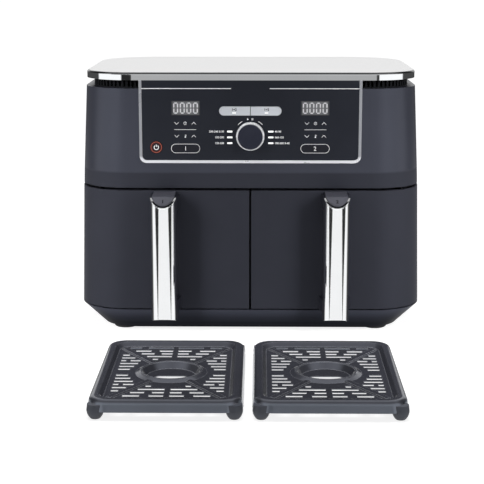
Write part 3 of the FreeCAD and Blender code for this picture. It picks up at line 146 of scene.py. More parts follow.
# Marks on the keys, in millimetres and degrees
ZONE_FLANGE = 1.3
ZONE_INSET = 0.4
ZONE_DIGIT_HEIGHT = 5.0
POWER_RING_RADIUS = 6.5
POWER_RING_LINE = 0.48
POWER_SIGN_RADIUS = 2.7
POWER_SIGN_DROP = 0.2
POWER_SIGN_LINE = 0.8
POWER_SIGN_ENDS = (125, 415)
POWER_STEM_FOOT = 0.4
POWER_STEM_TOP = 3.2
BAR_SIGN_RISE = 1.8
BAR_SIGN_HEIGHT = 3.0
BAR_DASH_DROP = 2.3
BAR_DASH_HALF_WIDTH = 2.2
BAR_DASH_HALF_HEIGHT = 0.6
BOLD_WEIGHT = 0.03

# Numbers on the handle caps, in millimetres and degrees
CAP_SHEET = 3.0
CAP_SLANT = 45.0
CAP_DIGIT_HEIGHT = 4.8
CAP_DIGIT_REACH = 5.3
CAP_DIGIT_LIFT = 0.05

# Screws, in millimetres. The head's profile and recess are shares of its radius and its rise
SCREW_HEAD = 3.5
SCREW_RISE = 1.8
SCREW_PROFILE = ((0.45, 1.0), (0.75, 0.88), (0.95, 0.6), (1.0, 0.25), (1.0, 0.0))
RECESS_ARM = 0.55
RECESS_HALF = 0.13
RECESS_DEPTH = 0.35
SCREW_SHANK = 1.75
REAR_SCREW_INSET = 8.0
REAR_SCREW_LENGTH = 6.0
BASE_SCREW_X = 104.0
BASE_SCREW_YS = (114.0, 264.0)
BASE_SCREW_LENGTH = 10.0
HANDLE_SCREW_SHANK = 2.0

# Zones of the finishes, in metres
CREASE_Z = 0.200
CREASE_BLEND = 0.003
TRIM_FOOT = 0.005
TRIM_BLEND = 0.004
# Depth of the plates' upright outer walls that get a painted reflection of the table
PLATE_WALL = 0.006
PLATE_WALL_BLEND = 0.002
# Radius of the plate edges that get painted highlights
PLATE_HIGHLIGHT_EDGE = 0.0012
# How far below the top of the handle covers the painted shadow on the collars stops, and its blend
COLLAR_ENDS = 0.0037
COLLAR_BLEND = 0.001
POWER_GLOW_RADIUS = 0.008
TRACKS_PER_METRE = 250.0

# Noise in general, and how far a rounded normal agrees with the surface on and off an edge
EVEN = (1.0, 1.0, 1.0)
CLOUD_DETAIL = 4.0
GRAIN_DETAIL = 2.0
ON_EDGE = 0.94
OFF_EDGE = 0.998

# Floor, in metres
FLOOR_HALF = 30.0
FLOOR_GREY = 0.50
FLOOR_NEAR = 0.45
FLOOR_FAR = 0.90
FLOOR_NEAR_GLOW = 0.82

# Camera, in metres, degrees and millimetres of lens and sensor
CAMERA_PLACE = (0.01105, -1.6124, 0.4525)
CAMERA_TILT = 78.34
CAMERA_TURN = 0.741
CAMERA_LENS = 100.27
CAMERA_SENSOR = 36.0
CAMERA_SIGHT = 200.0

# Colours that more than one finish or light uses
COOL_SHEEN = (0.80, 0.85, 1.0)
WHITE = (1.0, 1.0, 1.0)
DARK = (0.03, 0.03, 0.03)

# Lamps, in metres, watts and degrees, with the softbox of the right-hand side
SOFTBOX_PLACE = (0.55, -0.45, 0.36)
SOFTBOX_TARGET = (0.23, 0.02, 0.15)
SOFTBOX_SIZE = (0.25, 0.55)
SOFTBOX_POWER = 0.62
SOFTBOX_SPREAD = 52.0
OVERHEAD_PLACE = (0.0, 0.0, 1.5)
OVERHEAD_TARGET = (0.0, -0.1, 0.0)
OVERHEAD_SIZE = (1.2, 0.8)
OVERHEAD_POWER = 12.0
OVERHEAD_SPREAD = 180.0

# World, as (degrees to the right of the front, brightness) stops and degrees over the horizon
LEVEL_STOPS = ((-180, 0.08), (-94, 0.08), (-91, 1.3), (-30, 1.3), (-28.5, 0.03), (-10, 0.03), (-9, 0.52),
               (20.5, 0.52), (21.5, 0.03), (26.5, 0.03), (28, 1.3), (91, 1.3), (94, 0.08), (180, 0.08))
LEVEL_HEIGHTS = (-9.5, -8.0)
SKY_HEIGHTS = (0.5, 3.5)
CEILING_HEIGHTS = (44.0, 58.0)
TABLE_HEIGHTS = (-19.0, -16.5)
FLAG_HEIGHTS = (-15.5, -10.0)
FLAG_CENTRES = (-57.0, 62.0)
FLAG_HALF = 18.0

# World stops that are the same on both sides, from the front to the back
WALL_STOPS = ((48, 0.98), (52, 1.05), (102, 1.05), (112, 0.05), (120, 0.05), (130, 1.0), (180, 1.0))
TABLE_STOPS = ((100, 1.3), (112, 0.05), (120, 0.05), (130, 1.1), (180, 1.1))
SKY_STOPS = ((0, 0.9), (25, 1.05), (48, 1.15), (70, 0.9), (92, 0.08), (138, 0.08), (150, 1.02), (180, 1.02))
CEILING_STOPS = ((92, 0.5), (110, 1.0), (180, 1.0))
FILL_STOPS = ((60, 0.127), (95, 0.08), (120, 0.127), (180, 0.127))


# Shader building blocks

def start_material(name):
    """New material with its node tree and its shader."""
    material = bpy.data.materials.new(name)
    material.use_nodes = True
    tree = material.node_tree
    return material, tree, tree.nodes["Principled BSDF"]


def is_socket(value):
    return isinstance(value, bpy.types.NodeSocket)


def wire(tree, node, values):
    """Feed a node's inputs by name: a socket is linked, and a plain value is set."""
    for name, value in values.items():
        socket = node.inputs[name]
        if is_socket(value):
            tree.links.new(value, socket)
        elif socket.type == "RGBA":
            socket.default_value = (*value, 1.0)
        else:
            socket.default_value = value


def math_node(tree, operation, first, second=None):
    """Result of a math node. Its operands are sockets or plain numbers."""
    node = tree.nodes.new("ShaderNodeMath")
    node.operation = operation
    for socket, operand in zip(node.inputs, (first, second)):
        if is_socket(operand):
            tree.links.new(operand, socket)
        elif operand is not None:
            socket.default_value = operand
    return node.outputs["Value"]


def away_from(tree, value, middle):
    """Distance of a value from a middle."""
    return math_node(tree, "ABSOLUTE", math_node(tree, "SUBTRACT", value, middle))


def length_of(tree, first, second):
    """Length of a vector with these two components."""
    squares = [math_node(tree, "MULTIPLY", component, component) for component in (first, second)]
    return math_node(tree, "SQRT", math_node(tree, "ADD", *squares))


def axes_of(tree, vector):
    """X, Y and Z of a vector."""
    split = tree.nodes.new("ShaderNodeSeparateXYZ")
    tree.links.new(vector, split.inputs["Vector"])
    return split.outputs["X"], split.outputs["Y"], split.outputs["Z"]


def place(tree):
    """Object coordinates, which are the part's own frame in metres."""
    return tree.nodes.new("ShaderNodeTexCoord").outputs["Object"]


def scaled_place(tree, scale):
    """Object coordinates times a factor for each axis."""
    mapping = tree.nodes.new("ShaderNodeMapping")
    wire(tree, mapping, {"Vector": place(tree), "Scale": scale})
    return mapping.outputs["Vector"]


def height_of(tree):
    """Height in the part's frame, in metres."""
    return axes_of(tree, place(tree))[2]


def upward_of(tree):
    """How far the surface faces up, from -1 to 1."""
    return axes_of(tree, tree.nodes.new("ShaderNodeTexCoord").outputs["Normal"])[2]


def noise(tree, size, detail=3.0, stretch=EVEN):
    """Noise whose features are about size metres across, drawn out along an axis by stretch."""
    texture = tree.nodes.new("ShaderNodeTexNoise")
    scale = [1.0 / (size * factor) for factor in stretch]
    wire(tree, texture, {"Vector": scaled_place(tree, scale), "Scale": 1.0, "Detail": detail})
    return texture.outputs["Fac"]


def spread(tree, value, low, high, start=0.3, end=0.7):
    """Map a value from start..end to low..high, held at the ends."""
    scale = tree.nodes.new("ShaderNodeMapRange")
    wire(tree, scale, {"Value": value, "From Min": start, "From Max": end, "To Min": low, "To Max": high})
    return scale.outputs["Result"]


def shades(tree, value, stops):
    """Colour ramp through (position, colour) stops."""
    ramp = tree.nodes.new("ShaderNodeValToRGB")
    elements = ramp.color_ramp.elements
    while len(elements) < len(stops):
        elements.new(1.0)
    for element, (position, colour) in zip(elements, stops):
        element.position = position
        element.color = (*colour, 1.0)
    tree.links.new(value, ramp.inputs["Fac"])
    return ramp.outputs["Color"]


def mottled(tree, clouds, darker, paler):
    """Colour that wanders between two shades with a noise."""
    return shades(tree, clouds, ((0.3, darker), (0.7, paler)))


def mix_colours(tree, share, first, second):
    """Blend two colours, sockets or plain ones, by a share from 0 to 1."""
    mix = tree.nodes.new("ShaderNodeMix")
    mix.data_type = "RGBA"
    wire(tree, mix, {"Factor": share, "A": first, "B": second})
    return next(socket for socket in mix.outputs if socket.type == "RGBA")


def mix_values(tree, share, first, second):
    """first + share * (second - first), for sockets or numbers."""
    if is_socket(first) or is_socket(second):
        difference = math_node(tree, "SUBTRACT", second, first)
    else:
        difference = second - first
    return math_node(tree, "ADD", first, math_node(tree, "MULTIPLY", share, difference))


def soft_edges(tree, radius):
    """Normal that rounds the sharp edges by a radius in metres."""
    bevel = tree.nodes.new("ShaderNodeBevel")
    bevel.samples = 4
    wire(tree, bevel, {"Radius": radius})
    return bevel.outputs["Normal"]


def edge_share(tree, radius):
    """Share from 0 on flat ground to 1 along an edge, within a radius in metres."""
    agreement = tree.nodes.new("ShaderNodeVectorMath")
    agreement.operation = "DOT_PRODUCT"
    tree.links.new(soft_edges(tree, radius), agreement.inputs[0])
    tree.links.new(tree.nodes.new("ShaderNodeNewGeometry").outputs["Normal"], agreement.inputs[1])
    return spread(tree, agreement.outputs["Value"], 1.0, 0.0, ON_EDGE, OFF_EDGE)


def bump(tree, height, depth, normal=None):
    """Normal with a relief of the given depth in metres."""
    relief = tree.nodes.new("ShaderNodeBump")
    wire(tree, relief, {"Strength": 1.0, "Distance": depth, "Height": height})
    if normal is not None:
        wire(tree, relief, {"Normal": normal})
    return relief.outputs["Normal"]


def grained(tree, size, depth, normal=None, stretch=EVEN):
    """Normal with a fine grain of the given size and depth in metres."""
    return bump(tree, noise(tree, size, GRAIN_DETAIL, stretch), depth, normal)


def scaled(colour, factor):
    """A colour, or any other triple, times a factor."""
    return tuple(channel * factor for channel in colour)


def surface(name, colour, rough, mottle=0.03, variation=0.1, stretch=EVEN, grain=None, edge=None, **values):
    """Surface with a softly mottled colour, uneven roughness, a fine relief and rounded edges.

    Rough is a (low, high) pair, grain a (size, depth) pair and edge a radius. Other values are
    socket names with underscores for spaces.
    """
    material, tree, shader = start_material(name)
    clouds = noise(tree, mottle, CLOUD_DETAIL, stretch)
    normal = soft_edges(tree, edge) if edge else None
    if grain:
        normal = grained(tree, *grain, normal, stretch)
    if normal is not None:
        wire(tree, shader, {"Normal": normal})
    darker = scaled(colour, 1.0 - variation)
    paler = scaled(colour, 1.0 + variation)
    wire(tree, shader, {
        "Base Color": mottled(tree, clouds, darker, paler),
        "Roughness": spread(tree, clouds, *rough),
    })
    wire(tree, shader, {socket.replace("_", " "): value for socket, value in values.items()})
    return material


# Finishes with more than one zone

def housing_finish():
    """Charcoal moulding, satin above the crease and rougher on the lip and the lower sides."""
    material, tree, shader = start_material("housing_plastic")
    clouds = noise(tree, 0.05, CLOUD_DETAIL)
    upper = spread(tree, height_of(tree), 0.0, 1.0, CREASE_Z, CREASE_Z + CREASE_BLEND)
    above = mottled(tree, clouds, (0.0240, 0.0256, 0.0360), (0.0277, 0.0293, 0.0411))
    below = mottled(tree, clouds, (0.0245, 0.0257, 0.0340), (0.0275, 0.0289, 0.0380))
    satin = spread(tree, clouds, 0.34, 0.38)
    matt = spread(tree, clouds, 0.56, 0.62)
    wire(tree, shader, {
        "Base Color": mix_colours(tree, upper, below, above),
        "Roughness": mix_values(tree, upper, matt, satin),
        "Specular IOR Level": mix_values(tree, upper, 0.3, 0.6),
        "Specular Tint": COOL_SHEEN,
        "Normal": grained(tree, 0.0007, 0.00002, soft_edges(tree, 0.0008)),
    })
    return material


def lid_finish():
    """Pale brushed steel on top, drawn along X, a polished band under it, and between them a fillet painted
    near black as a painted dark reflection.
    """
    material, tree, shader = start_material("lid_steel")
    lines = noise(tree, 0.0006, stretch=(60.0, 1.0, 1.0))
    clouds = noise(tree, 0.08)
    upward = upward_of(tree)
    top = spread(tree, upward, 0.0, 1.0, 0.90, 0.97)
    painted_dark_fillet = spread(tree, upward, 0.0, 1.0, 0.10, 0.22)
    brushed = shades(tree, lines, ((0.25, (0.80, 0.80, 0.805)), (0.75, (0.88, 0.88, 0.88))))
    polished = mottled(tree, clouds, (0.72, 0.735, 0.75), (0.76, 0.775, 0.79))
    # Painted dark reflection: a near-black steel colour on the fillet
    dim = mottled(tree, clouds, (0.110, 0.112, 0.116), (0.120, 0.122, 0.126))
    edge = mix_colours(tree, painted_dark_fillet, polished, dim)
    brushed_rough = spread(tree, lines, 0.30, 0.42)
    polished_rough = spread(tree, clouds, 0.04, 0.07)
    edge_rough = mix_values(tree, painted_dark_fillet, polished_rough, 0.2)
    wire(tree, shader, {
        "Base Color": mix_colours(tree, top, edge, brushed),
        "Roughness": mix_values(tree, top, edge_rough, brushed_rough),
        "Normal": bump(tree, lines, 0.000004),
        "Metallic": 1.0,
    })
    return material


def trim_finish():
    """Bright trim, paler along the panel's foot than up its sides."""
    material, tree, shader = start_material("bright_trim")
    clouds = noise(tree, 0.03)
    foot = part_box("panel_trim")[0].z + TRIM_FOOT
    side = spread(tree, height_of(tree), 0.0, 1.0, foot, foot + TRIM_BLEND)
    pale = mottled(tree, clouds, (0.84, 0.848, 0.89), (0.87, 0.878, 0.92))
    dim = mottled(tree, clouds, (0.36, 0.37, 0.40), (0.38, 0.39, 0.42))
    wire(tree, shader, {
        "Base Color": mix_colours(tree, side, pale, dim),
        "Roughness": spread(tree, clouds, 0.26, 0.32),
        "Normal": soft_edges(tree, 0.0006),
        "Metallic": 0.4,
    })
    return material


def base_finish():
    """Black base with painted light and shade: near black at the floor and paler towards its upper edge."""
    material, tree, shader = start_material("base_plastic")
    low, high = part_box("base_pan")
    rise = spread(tree, height_of(tree), 0.0, 0.9, low.z, high.z)
    clouds = math_node(tree, "MULTIPLY", noise(tree, 0.04, CLOUD_DETAIL), 0.1)
    # Painted shade at the foot and painted light towards the upper edge
    foot = (0.0070, 0.0075, 0.0100)
    middle = (0.0215, 0.0232, 0.0315)
    painted_light_edge = (0.0500, 0.0534, 0.0715)
    stops = ((0.25, foot), (0.55, middle), (0.85, painted_light_edge))
    wire(tree, shader, {
        "Base Color": shades(tree, math_node(tree, "ADD", rise, clouds), stops),
        "Roughness": spread(tree, noise(tree, 0.04), 0.48, 0.58),
        "Normal": grained(tree, 0.0008, 0.00002, soft_edges(tree, 0.0006)),
        "Specular IOR Level": 0.1,
        "Specular Tint": COOL_SHEEN,
    })
    return material


def plate_finish():
    """Smooth dark coating, paler on the upright outer walls with a painted reflection, and with painted
    highlights along the edges.
    """
    material, tree, shader = start_material("plate_coating")
    clouds = noise(tree, 0.04, CLOUD_DETAIL)
    low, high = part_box("right_crisper_plate")
    middle = (low + high) / 2
    half = (high - low) / 2
    x, y, _ = axes_of(tree, place(tree))
    across = away_from(tree, math_node(tree, "ABSOLUTE", x), middle.x)
    along = away_from(tree, y, middle.y)
    past_rim = math_node(tree, "MAXIMUM", math_node(tree, "SUBTRACT", across, half.x),
                         math_node(tree, "SUBTRACT", along, half.y))
    outer = spread(tree, past_rim, 0.0, 1.0, -PLATE_WALL, PLATE_WALL_BLEND - PLATE_WALL)
    upright = spread(tree, math_node(tree, "ABSOLUTE", upward_of(tree)), 1.0, 0.0, 0.3, 0.6)
    wall = math_node(tree, "MULTIPLY", outer, upright)
    dark = mottled(tree, clouds, (0.064, 0.066, 0.080), (0.071, 0.073, 0.089))
    # Painted reflection: the pale table mirrored in the upright outer walls
    pale = mottled(tree, clouds, (0.270, 0.303, 0.366), (0.292, 0.327, 0.394))
    # Painted highlights: a paler coating colour along every edge
    painted_edge_highlight = mottled(tree, clouds, (0.370, 0.380, 0.412), (0.400, 0.410, 0.445))
    ground = mix_colours(tree, edge_share(tree, PLATE_HIGHLIGHT_EDGE), dark, painted_edge_highlight)
    wire(tree, shader, {
        "Base Color": mix_colours(tree, wall, ground, pale),
        "Roughness": spread(tree, clouds, 0.17, 0.21),
        "Normal": soft_edges(tree, 0.0008),
        "Specular IOR Level": 1.0,
        "Specular Tint": COOL_SHEEN,
    })
    return material


def chrome_finish():
    """Bright plated front. The collar's slanted face is painted near black as a painted shadow under the
    cap, except at its two upper ends.
    """
    material, tree, shader = start_material("handle_chrome")
    clouds = noise(tree, 0.03, CLOUD_DETAIL)
    slanted = spread(tree, upward_of(tree), 0.0, 1.0, 0.4, 0.6)
    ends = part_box("left_handle_cover")[1].z - COLLAR_ENDS
    lower = spread(tree, height_of(tree), 1.0, 0.0, ends - COLLAR_BLEND, ends + COLLAR_BLEND)
    collar = math_node(tree, "MULTIPLY", slanted, lower)
    bright = mottled(tree, clouds, (0.89, 0.90, 0.91), (0.91, 0.92, 0.93))
    # Painted shadow under the cap, in place of the chrome's own colour
    painted_shadow_seam = mottled(tree, clouds, (0.030, 0.031, 0.036), (0.034, 0.035, 0.040))
    wire(tree, shader, {
        "Base Color": mix_colours(tree, collar, bright, painted_shadow_seam),
        "Roughness": spread(tree, clouds, 0.04, 0.06),
        "Normal": soft_edges(tree, 0.0006),
        "Metallic": 1.0,
    })
    return material


def display_finish():
    """Smoked window with a soft grey glow that fades out towards its rim."""
    material, tree, shader = start_material("display_window")
    x, _, z = axes_of(tree, place(tree))
    half_height = (DISPLAY_HIGH.z - DISPLAY_LOW.z) / 2
    across = away_from(tree, math_node(tree, "ABSOLUTE", x), WINDOW_X * MM)
    across = math_node(tree, "DIVIDE", across, WINDOW_HALF * MM)
    upright = math_node(tree, "DIVIDE", away_from(tree, z, DISPLAY_Z * MM), half_height * MM)
    rim = math_node(tree, "MAXIMUM", across, upright)
    clouds = math_node(tree, "MULTIPLY", noise(tree, 0.004, GRAIN_DETAIL), 0.12)
    stops = ((0.0, (0.20, 0.202, 0.21)), (0.92, (0.16, 0.162, 0.17)), (1.0, (0.05, 0.051, 0.057)))
    wire(tree, shader, {
        "Base Color": shades(tree, math_node(tree, "ADD", rim, clouds), stops),
        "Roughness": spread(tree, noise(tree, 0.01), 0.10, 0.16),
        "Specular IOR Level": 0.15,
    })
    return material


def power_finish():
    """Gloss black key with a dim red glow round its rim."""
    material, tree, shader = start_material("power_key")
    x, _, z = axes_of(tree, place(tree))
    across = math_node(tree, "SUBTRACT", x, POWER.x * MM)
    upright = math_node(tree, "SUBTRACT", z, POWER.z * MM)
    share = math_node(tree, "DIVIDE", length_of(tree, across, upright), POWER_GLOW_RADIUS)
    stops = ((0.45, (0.018, 0.019, 0.024)), (0.80, (0.09, 0.022, 0.02)), (0.95, (0.05, 0.018, 0.018)))
    wire(tree, shader, {
        "Base Color": shades(tree, share, stops),
        "Roughness": spread(tree, noise(tree, 0.01), 0.12, 0.18),
        "Specular IOR Level": 0.2,
    })
    return material


def board_finish():
    """Green circuit board with a grid of faint copper tracks."""
    material, tree, shader = start_material("circuit_board")
    tracks = tree.nodes.new("ShaderNodeTexBrick")
    wire(tree, tracks, {
        "Vector": scaled_place(tree, scaled(EVEN, TRACKS_PER_METRE)),
        "Color1": (0.010, 0.075, 0.035),
        "Color2": (0.012, 0.095, 0.045),
        "Mortar": (0.05, 0.16, 0.06),
        "Mortar Size": 0.06,
    })
    wire(tree, shader, {
        "Base Color": tracks.outputs["Color"],
        "Roughness": spread(tree, noise(tree, 0.004), 0.35, 0.5),
    })
    return material


def lamp(name, colour, strength):
    """Lit surface, a little uneven."""
    material, tree, shader = start_material(name)
    clouds = noise(tree, 0.003, GRAIN_DETAIL)
    glow = shades(tree, clouds, ((0.2, scaled(colour, 0.9)), (0.8, colour)))
    wire(tree, shader, {
        "Base Color": glow,
        "Emission Color": glow,
        "Emission Strength": strength,
        "Roughness": 0.4,
    })
    return material


# Finishes that are alike all over, by material slot

def made_from(recipes, **shared):
    """Surfaces by slot, each from its own recipe and the values that they all share."""
    return {slot: surface(slot, **recipe, **shared) for slot, recipe in recipes.items()}


def dull_finishes():
    """Plastics, rubbers and a coating with a neutral sheen."""
    black = (0.016, 0.0165, 0.02)
    return made_from({
        "frame_plastic": dict(colour=(0.022, 0.0225, 0.027), rough=(0.5, 0.62), mottle=0.04,
                              grain=(0.0008, 0.00003), edge=0.0006),
        "panel_plastic": dict(colour=black, rough=(0.5, 0.6), mottle=0.03, grain=(0.0008, 0.00002)),
        "switch_plastic": dict(colour=black, rough=(0.4, 0.5), mottle=0.01, grain=(0.0006, 0.00001)),
        "handle_plastic": dict(colour=(0.068, 0.069, 0.086), rough=(0.36, 0.46), mottle=0.02,
                               variation=0.08, grain=(0.0006, 0.00001), edge=0.0007),
        "foot_rubber": dict(colour=(0.012, 0.012, 0.013), rough=(0.7, 0.85), mottle=0.01, variation=0.2,
                            grain=(0.0005, 0.00003), edge=0.0006),
        "bumper_silicone": dict(colour=(0.085, 0.093, 0.118), rough=(0.42, 0.55), mottle=0.008,
                                variation=0.12, grain=(0.0005, 0.00001)),
        "basket_coating": dict(colour=(0.035, 0.036, 0.04), rough=(0.36, 0.5), mottle=0.02,
                               variation=0.15, grain=(0.0009, 0.00002)),
    })


def cool_finishes():
    """Charcoal mouldings and the gloss panel, with a bluish sheen."""
    return made_from({
        "drawer_plastic": dict(colour=(0.0318, 0.0332, 0.0432), rough=(0.52, 0.60), mottle=0.05,
                               variation=0.06, grain=(0.0007, 0.00002), edge=0.0008,
                               Specular_IOR_Level=0.15),
        "panel_gloss": dict(colour=(0.0190, 0.0210, 0.0282), rough=(0.10, 0.16), mottle=0.06,
                            variation=0.08, edge=0.0003, Specular_IOR_Level=0.2),
        "dial_plastic": dict(colour=(0.0115, 0.0126, 0.0228), rough=(0.34, 0.42), mottle=0.01,
                             variation=0.08, grain=(0.0005, 0.000008), edge=0.0004,
                             Specular_IOR_Level=0.35),
    }, Specular_Tint=COOL_SHEEN)


def metal_finishes():
    """Bare metals, most of them inside."""
    steel = (0.52, 0.52, 0.53)
    return made_from({
        "screw_steel": dict(colour=(0.3, 0.3, 0.31), rough=(0.28, 0.4), mottle=0.004, variation=0.15),
        "deck_steel": dict(colour=(0.5, 0.5, 0.51), rough=(0.32, 0.5), mottle=0.02, variation=0.15),
        "probe_steel": dict(colour=steel, rough=(0.25, 0.35), mottle=0.006),
        "shaft_steel": dict(colour=(0.55, 0.55, 0.56), rough=(0.18, 0.28), mottle=0.002, variation=0.06),
        "liner_steel": dict(colour=steel, rough=(0.30, 0.46), mottle=0.03, variation=0.12,
                            stretch=(1.0, 1.0, 6.0)),
        "heater_steel": dict(colour=(0.2, 0.19, 0.19), rough=(0.4, 0.55), mottle=0.02, variation=0.3),
        "motor_steel": dict(colour=(0.36, 0.36, 0.37), rough=(0.3, 0.42), mottle=0.015),
        "fan_aluminium": dict(colour=(0.6, 0.6, 0.61), rough=(0.28, 0.42), mottle=0.01),
    }, Metallic=1.0)


def finishes():
    """One finish for each material slot of the record."""
    return {
        **dull_finishes(),
        **cool_finishes(),
        **metal_finishes(),
        "key_gloss": surface("key_gloss", (0.0150, 0.0158, 0.0220), (0.12, 0.18), mottle=0.02,
                             variation=0.08, edge=0.0003, Specular_IOR_Level=0.2),
        "bar_silver": surface("bar_silver", (0.68, 0.71, 0.76), (0.32, 0.42), mottle=0.01, variation=0.04,
                              stretch=(6.0, 1.0, 1.0), edge=0.0005, Metallic=0.35),
        "housing_plastic": housing_finish(),
        "base_plastic": base_finish(),
        "lid_steel": lid_finish(),
        "bright_trim": trim_finish(),
        "plate_coating": plate_finish(),
        "handle_chrome": chrome_finish(),
        "display_window": display_finish(),
        "circuit_board": board_finish(),
        "lamp_white": lamp("lamp_white", (0.95, 0.95, 0.95), 0.9),
    }


def dress(node, material):
    """Give a CAD node its finish."""
    for slot in frame["nodes"][node].material_slots:
        slot.material = material


def dress_nodes(kinds):
    """Give every CAD node the finish of its slot, and a few nodes one of their own."""
    for part in frame["record"]["subparts"]:
        dress(part["node"], kinds[part["material_slot"]])
    dress("power_button", power_finish())
    vent = surface("vent_black", (0.009, 0.0094, 0.011), (0.6, 0.7), mottle=0.02, edge=0.0003,
                   Specular_IOR_Level=0.1)
    dress("vent_collar", vent)
    ring = surface("dial_ring_bright", (0.86, 0.87, 0.90), (0.24, 0.30), mottle=0.01, variation=0.03,
                   edge=0.0005, Metallic=0.4)
    dress("dial_ring", ring)
    grip = surface("grip_plastic", (0.017, 0.018, 0.025), (0.5, 0.6), mottle=0.03, variation=0.06,
                   grain=(0.0006, 0.00001), edge=0.0007, Specular_IOR_Level=0.2)
    for name, _ in SIDES:
        dress(f"{name}_handle_core", grip)


def hide_from_mirrors():
    """Keep the plates and the plated strips out of the reflections on other surfaces."""
    for side_name, _ in SIDES:
        for part_name in ("crisper_plate", "plate_bumpers", "handle_cover"):
            frame["nodes"][f"{side_name}_{part_name}"].visible_glossy = False


# Flat marks on the front, drawn as thin solids in millimetres

def polar(x, z, radius, degrees):
    """Point at a distance from (x, z), in a direction counted from X towards Z."""
    angle = math.radians(degrees)
    return (x + radius * math.cos(angle), z + radius * math.sin(angle))


def arc_points(x, z, radius, start, end, count):
    """Points along an arc round (x, z), between two angles in degrees."""
    step = (end - start) / (count - 1)
    return [polar(x, z, radius, start + step * index) for index in range(count)]


def capsule_points(x, z, half_width, half_height, count=12):
    """Closed outline of a capsule that lies along X."""
    reach = half_width - half_height
    right = arc_points(x + reach, z, half_height, -90, 90, count)
    left = arc_points(x - reach, z, half_height, 90, 270, count)
    return right + left


def filled(shape, outline, front, depth=PRINT_DEPTH):
    """Prism of an outline of (x, z) points, from front back to the surface it lies on."""
    fronts = [shape.verts.new((x, front, z)) for x, z in outline]
    backs = [shape.verts.new((x, front + depth, z)) for x, z in outline]
    shape.faces.new(fronts)
    shape.faces.new(backs[::-1])
    for index in range(len(outline)):
        following = (index + 1) % len(outline)
        shape.faces.new((fronts[index], backs[index], backs[following], fronts[following]))


def offset_pairs(points, width, closed):
    """Left and right edge points of a line of even width."""
    pairs = []
    count = len(points)
    for index, (x, z) in enumerate(points):
        before = points[index - 1] if index > 0 or closed else points[index]
        after = points[(index + 1) % count] if index < count - 1 or closed else points[index]
        arrive = Vector((x - before[0], z - before[1]))
        leave = Vector((after[0] - x, after[1] - z))
        if arrive.length == 0:
            arrive = leave
        if leave.length == 0:
            leave = arrive
        along = (arrive.normalized() + leave.normalized()).normalized()
        reach = width / 2 / max(along.dot(leave.normalized()), LEAST_MITRE)
        across = Vector((-along.y, along.x)) * reach
        pairs.append(((x + across.x, z + across.y), (x - across.x, z - across.y)))
    return pairs


def stroke(shape, points, width, front, closed=False):
    """Line of even width along (x, z) points, as a closed solid."""
    back = front + PRINT_DEPTH
    rings = []
    for left, right in offset_pairs(points, width, closed):
        corners = ((left, front), (right, front), (right, back), (left, back))
        rings.append([shape.verts.new((corner[0], y, corner[1])) for corner, y in corners])
    spans = len(rings) if closed else len(rings) - 1
    for index in range(spans):
        here = rings[index]
        there = rings[(index + 1) % len(rings)]
        for side in range(4):
            following = (side + 1) % 4
            shape.faces.new((here[side], here[following], there[following], there[side]))
    if not closed:
        shape.faces.new(rings[0][::-1])
        shape.faces.new(rings[-1])


def number(shape, text, x, z, height, front, align="CENTER", tilt=0.0, weight=0.0):
    """Plain digits and signs that face the front, with their middle at height z.

    They lean back by tilt degrees, and weight thickens their strokes.
    """
    curve = bpy.data.curves.new("digits", "FONT")
    curve.body = text
    curve.align_x = align
    curve.resolution_u = 4
    curve.offset = weight
    holder = bpy.data.objects.new("digits", curve)
    mesh = bpy.data.meshes.new_from_object(holder)
    rows = [vertex.co.y for vertex in mesh.vertices]
    size = height / (max(rows) - min(rows))
    centred = Matrix.Translation((0, -(max(rows) + min(rows)) / 2, 0))
    sized = Matrix.Diagonal((size, size, size, 1.0))
    upright = Matrix.Rotation(math.radians(90 - tilt), 4, "X")
    mesh.transform(Matrix.Translation((x, front, z)) @ upright @ sized @ centred)
    before = len(shape.faces)
    shape.from_mesh(mesh)
    shape.faces.ensure_lookup_table()
    extruded = bmesh.ops.extrude_face_region(shape, geom=shape.faces[before:])["geom"]
    backs = [item for item in extruded if isinstance(item, bmesh.types.BMVert)]
    lean = math.radians(tilt)
    inward = Vector((0, math.cos(lean), -math.sin(lean))) * PRINT_DEPTH
    bmesh.ops.translate(shape, vec=inward, verts=backs)
    bpy.data.objects.remove(holder)
    bpy.data.curves.remove(curve)
    bpy.data.meshes.remove(mesh)


def add_object(name, data):
    """New object in the scene."""
    item = bpy.data.objects.new(name, data)
    bpy.context.scene.collection.objects.link(item)
    return item


def mesh_object(name, shape):
    """Turn a drawing into an object, in the drawing's own units."""
    bmesh.ops.recalc_face_normals(shape, faces=shape.faces)
    mesh = bpy.data.meshes.new(name)
    shape.to_mesh(mesh)
    shape.free()
    return add_object(name, mesh)


def make_piece(name, shape, material, body):
    """Turn a drawing in millimetres into a piece that rides on a body."""
    bmesh.ops.scale(shape, vec=(MM, MM, MM), verts=shape.verts)
    piece = mesh_object(name, shape)
    piece.data.materials.append(material)
    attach(piece, body)
    return piece


# Panel print

def digit_bar(shape, start, end, front):
    """Bar of a display digit, pointed at both ends."""
    along = (end - start).normalized() * DIGIT_STROKE / 2
    across = Vector((-along.y, along.x))
    filled(shape, (start, start + along + across, end - along + across,
                   end, end - along - across, start + along - across), front)


def zero_digit(shape, x, z, front):
    """The digit 0 of a seven-segment display: six bars round (x, z)."""
    half_x = (DIGIT_WIDTH - DIGIT_STROKE) / 2
    half_z = (DIGIT_HEIGHT - DIGIT_STROKE) / 2
    reach = half_x - DIGIT_GAP
    for end in (-1, 1):
        level = z + end * half_z
        digit_bar(shape, Vector((x - reach, level)), Vector((x + reach, level)), front)
        near = z + end * DIGIT_GAP
        far = z + end * (half_z - DIGIT_GAP)
        for side in (-1, 1):
            upright = x + side * half_x
            digit_bar(shape, Vector((upright, near)), Vector((upright, far)), front)


